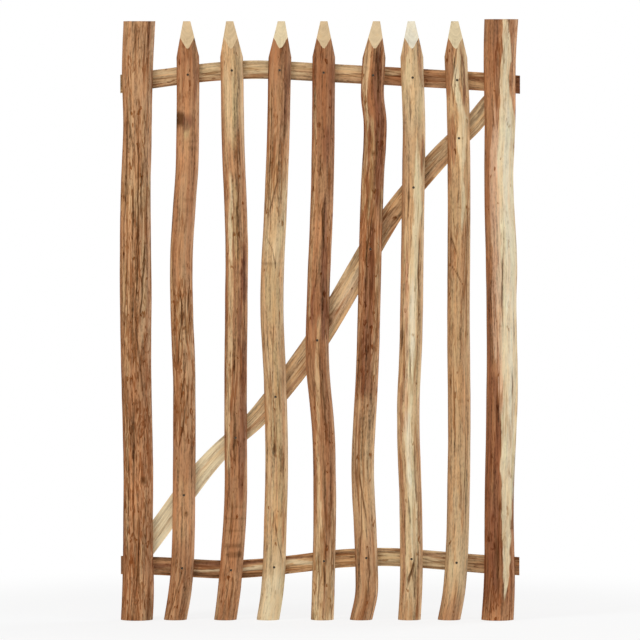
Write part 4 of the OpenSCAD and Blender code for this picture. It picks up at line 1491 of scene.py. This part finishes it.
def screw_tree():
    """A head and a threaded shank at every point, turned at random, as long as the point says."""
    tree, given = new_geometry_tree("cross_screws", {
        "Object": ["Head"], "Float": list(THREAD), "Material": ["Metal"]})
    points = given["Geometry"]
    length = tree.named("length", "FLOAT")
    facing = tree.named("facing", "FLOAT")
    turn = tree.add("FunctionNodeRandomValue", {"data_type": "FLOAT"}, {
        "Min": 0.0, "Max": math.pi, "Seed": 3})["Value"]
    flip = (1 - facing) * (math.pi / 2)
    rotation = tree.vector(0.0, turn, flip)
    head = tree.add("GeometryNodeObjectInfo", {}, {"Object": given["Head"]})["Geometry"]
    heads = tree.instances(points, head, rotation)
    core = tree.add("GeometryNodeMeshCylinder", {"fill_type": "NGON"}, {
        "Vertices": 14, "Radius": given["Core radius"], "Depth": 1.0})["Mesh"]
    core = tree.add("GeometryNodeTransform", {}, {
        "Geometry": core, "Translation": (0, 0.5, 0), "Rotation": (math.pi / 2, 0, 0)})
    cores = tree.instances(points, core, rotation, tree.vector(1.0, length, 1.0))
    spiral = tree.add("GeometryNodeCurveSpiral", {}, {
        "Resolution": 12, "Rotations": THREAD_LENGTH / given["Pitch"],
        "Start Radius": given["Core radius"], "End Radius": given["Core radius"],
        "Height": THREAD_LENGTH})["Curve"]
    ridge = tree.add("GeometryNodeCurvePrimitiveCircle", {}, {
        "Resolution": 4, "Radius": given["Thread radius"] - given["Core radius"]})["Curve"]
    thread = tree.add("GeometryNodeCurveToMesh", {}, {
        "Curve": spiral, "Profile Curve": ridge, "Fill Caps": True})
    thread = tree.add("GeometryNodeTransform", {}, {
        "Geometry": thread, "Rotation": (-math.pi / 2, 0, 0)})
    begin = tree.vector(0.0, (length - (THREAD_LENGTH + THREAD_END)) * facing, 0.0)
    threads = tree.instances(
        tree.add("GeometryNodeSetPosition", {}, {"Geometry": points, "Offset": begin}),
        thread, rotation)
    joined = tree.add("GeometryNodeJoinGeometry")
    for part in (heads, cores, threads):
        tree.nodes.links.new(part[0].socket, joined.node.inputs[0])
    set_materials(tree, joined, [(given["Metal"], True)])
    return tree.nodes


def screw_points(holes):
    """A point at the head of every screw, with its length and the way it faces."""
    mesh = bpy.data.meshes.new("screw_points")
    mesh.from_pydata([(h.x, h.head_y, h.z) for h in holes], [], [])
    write_points(mesh, "length", np.array([abs(h.tip_y - h.head_y) for h in holes]))
    write_points(mesh, "facing", np.array([float(h.inwards) for h in holes]))
    return linked(bpy.data.objects.new("screw_points", mesh))


# ---------------------------------------------------------------- the studio

MIDDLE = 0.46                               # the gate's middle along X
AIM = Vector((0.4596, 0, 0.753))            # what the camera points at
FLOOR_SIZE = 60                             # half the floor's side, in metres
FLOOR_GAP = 0.3 * MM                        # from the floor to the gate's feet
LAMPS = (                                   # where from the gate's middle, and how wide
    ("key", (-3.3, -3.1, 1.9), 1.8), ("fill", (3.4, -2.8, 0.6), 2.4),
    ("back", (3.9, 2.3, 1.2), 2.4))


def seen_by_camera(tree):
    """1 where a ray shows the studio itself to the camera, and 0 where it only carries light."""
    path = tree.add("ShaderNodeLightPath")
    return path["Is Camera Ray"].largest(path["Is Glossy Ray"]).largest(
        path["Is Transmission Ray"])


def floor_material(shade):
    """A white floor that shows the gate's shadow softly, and only near the gate."""
    material, tree = material_tree("studio_floor")
    away = tree.add("ShaderNodeTexCoord")["Object"] - (MIDDLE, 0, 0)
    distance = (away.part("X") * away.part("X") + away.part("Y") * away.part("Y")).root()
    near = distance.ease(1.7, 0.8)
    seen = seen_by_camera(tree)
    white = tree.add("ShaderNodeEmission", {}, {"Color": 1.0, "Strength": 1.0})["Emission"]
    lit = tree.add("ShaderNodeBsdfDiffuse", {}, {"Color": 0.86})["BSDF"]
    shown = tree.add("ShaderNodeMixShader", {}, {0: near * shade, 1: white, 2: lit})["Shader"]
    surface = tree.add("ShaderNodeMixShader", {}, {0: seen, 1: lit, 2: shown})["Shader"]
    tree.add("ShaderNodeOutputMaterial", {}, {"Surface": surface})
    return material


def white_room(strength):
    """A world that is white where it is seen and lights the gate evenly from all round."""
    world = bpy.data.worlds.new("white_room")
    world.use_nodes = True
    world.node_tree.nodes.clear()
    tree = Tree(world.node_tree)
    seen = seen_by_camera(tree)
    white = tree.add("ShaderNodeBackground", {}, {"Color": 1.0, "Strength": 1.0})["Background"]
    room = tree.add("ShaderNodeBackground", {}, {"Color": 1.0, "Strength": strength})["Background"]
    surface = tree.add("ShaderNodeMixShader", {}, {0: seen, 1: room, 2: white})["Shader"]
    tree.add("ShaderNodeOutputWorld", {}, {"Surface": surface})
    bpy.context.scene.world = world


def turn_towards(obj, target):
    """Turns a lamp or a camera so that it points at a target."""
    obj.rotation_euler = (target - obj.location).to_track_quat("-Z", "Y").to_euler()


def area_lamp(name, place, target, size, power):
    """A soft square lamp that points at a target."""
    light = bpy.data.lights.new(name, "AREA")
    light.shape = "SQUARE"
    light.size = size
    light.energy = power
    lamp = bpy.data.objects.new(name, light)
    lamp.location = place
    turn_towards(linked(lamp), target)


# ---------------------------------------------------------------- operators


class GATE_OT_posts(Operator):
    """Build the two split posts at the sides of the gate"""

    bl_idname = "gate.posts"
    bl_label = "Build the Posts"

    def execute(self, context):
        make_woods()
        for node in ("hinge_post", "latch_post"):
            make_pole(upright(node), LOOKS[node], [], "split_" + node)
        return {"FINISHED"}


class GATE_OT_pickets(Operator):
    """Build the pointed pickets between the posts"""

    bl_idname = "gate.pickets"
    bl_label = "Build the Pickets"

    def execute(self, context):
        make_woods()
        tips = context.scene.gate_tips
        for number in range(1, 8):
            node = f"picket_{number}"
            pole = picket_pole(node, tips)
            make_pole(pole, LOOKS[node], tip_cuts(pole, tips), "pointed_" + node)
        return {"FINISHED"}


class GATE_OT_rails(Operator):
    """Build the two bent rails behind the pickets"""

    bl_idname = "gate.rails"
    bl_label = "Build the Rails"

    def execute(self, context):
        make_woods()
        for node in ("top_rail", "bottom_rail"):
            make_pole(rail_pole(node), LOOKS[node], [], "split_" + node)
        return {"FINISHED"}


class GATE_OT_brace(Operator):
    """Build the bent brace that runs slanting behind the pickets"""

    bl_idname = "gate.brace"
    bl_label = "Build the Brace"

    def execute(self, context):
        make_woods()
        low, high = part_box("brace")
        make_pole(brace_pole("brace"), LOOKS["brace"],
                  [(low, Vector((0, 0, -1))), (high, Vector((0, 0, 1)))], "split_brace")
        return {"FINISHED"}


class GATE_OT_screws(Operator):
    """Build the screws that hold the pickets, the posts, the rails and the brace together"""

    bl_idname = "gate.screws"
    bl_label = "Build the Screws"

    def execute(self, context):
        settings = context.scene.gate_screws
        holes = find_holes()
        metal = screw_metal(settings.colour)
        nodes = screw_tree()
        head = screw_head(holes[0].head_radius, abs(holes[0].under_y - holes[0].head_y), settings)
        points = screw_points(holes)
        mesh = run_geometry_tree(
            points, nodes, {"Head": head, "Metal": metal, **THREAD}, "cross_screws")
        bpy.data.objects.remove(points)
        bpy.data.objects.remove(head)
        screws = linked(bpy.data.objects.new("cross_screws", mesh))
        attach(screws, BODY)
        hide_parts(*[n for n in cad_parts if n.endswith("_screws")])
        return {"FINISHED"}


class GATE_OT_studio(Operator):
    """Build the floor, the white room, the lamps and the camera"""

    bl_idname = "gate.studio"
    bl_label = "Build the Studio"

    def execute(self, context):
        scene = context.scene
        stage = scene.gate_stage
        low, high = Vector(CAD_BOX[0]), Vector(CAD_BOX[1])
        centre = (low + high) / 2
        bm = bmesh.new()
        bmesh.ops.create_grid(bm, x_segments=1, y_segments=1, size=FLOOR_SIZE)
        bmesh.ops.translate(bm, verts=bm.verts[:], vec=(centre.x, 0, low.z - FLOOR_GAP))
        floor = new_object("studio_floor", bm)
        floor.data.materials.append(floor_material(stage.floor_shade))
        white_room(stage.room_light)
        for name, away, size in LAMPS:
            area_lamp(name + "_lamp", centre + Vector(away), centre, size,
                      getattr(stage, name + "_power"))
        view = bpy.data.cameras.new("camera")
        view.sensor_width = 36
        view.lens = view.sensor_width * stage.camera_distance / stage.view_width
        view.clip_end = 200
        camera = bpy.data.objects.new("camera", view)
        camera.location = (AIM.x, -stage.camera_distance, stage.camera_height)
        turn_towards(camera, AIM)
        scene.camera = linked(camera)
        scene.view_settings.view_transform = "Standard"
        return {"FINISHED"}


class GATE_PT_panel(Panel):
    """The gate's sizes, and a button for each of its parts"""

    bl_idname = "GATE_PT_panel"
    bl_label = "Split Pole Picket Gate"
    bl_space_type = "VIEW_3D"
    bl_region_type = "UI"
    bl_category = "Picket Gate"

    def draw(self, context):
        for title, settings, operators in SECTIONS:
            box = self.layout.box()
            box.label(text=title)
            group = getattr(context.scene, settings)
            for name in group.bl_rna.properties.keys():
                if name not in {"rna_type", "name"}:
                    box.prop(group, name)
            for operator in operators:
                box.operator(operator)


SECTIONS = [
    ("Poles", "gate_poles", ["gate.posts", "gate.rails", "gate.brace"]),
    ("Pickets", "gate_tips", ["gate.pickets"]),
    ("Screws", "gate_screws", ["gate.screws"]),
    ("Studio", "gate_stage", ["gate.studio"]),
]
SETTINGS = {
    "gate_poles": GatePoleSettings, "gate_tips": GateTipSettings,
    "gate_screws": GateScrewSettings, "gate_stage": GateStageSettings,
}
CLASSES = [*SETTINGS.values(), GATE_OT_posts, GATE_OT_pickets, GATE_OT_rails, GATE_OT_brace,
           GATE_OT_screws, GATE_OT_studio, GATE_PT_panel]


def register():
    for cls in CLASSES:
        bpy.utils.register_class(cls)
    for name, group in SETTINGS.items():
        setattr(bpy.types.Scene, name, PointerProperty(type=group))


def unregister():
    for name in SETTINGS:
        delattr(bpy.types.Scene, name)
    for cls in reversed(CLASSES):
        bpy.utils.unregister_class(cls)


def main():
    """Builds the gate and its studio."""
    register()
    bpy.ops.gate.posts()
    bpy.ops.gate.pickets()
    bpy.ops.gate.rails()
    bpy.ops.gate.brace()
    bpy.ops.gate.screws()
    bpy.ops.gate.studio()
    bpy.context.view_layer.update()


if __name__ == "__main__":
    main()
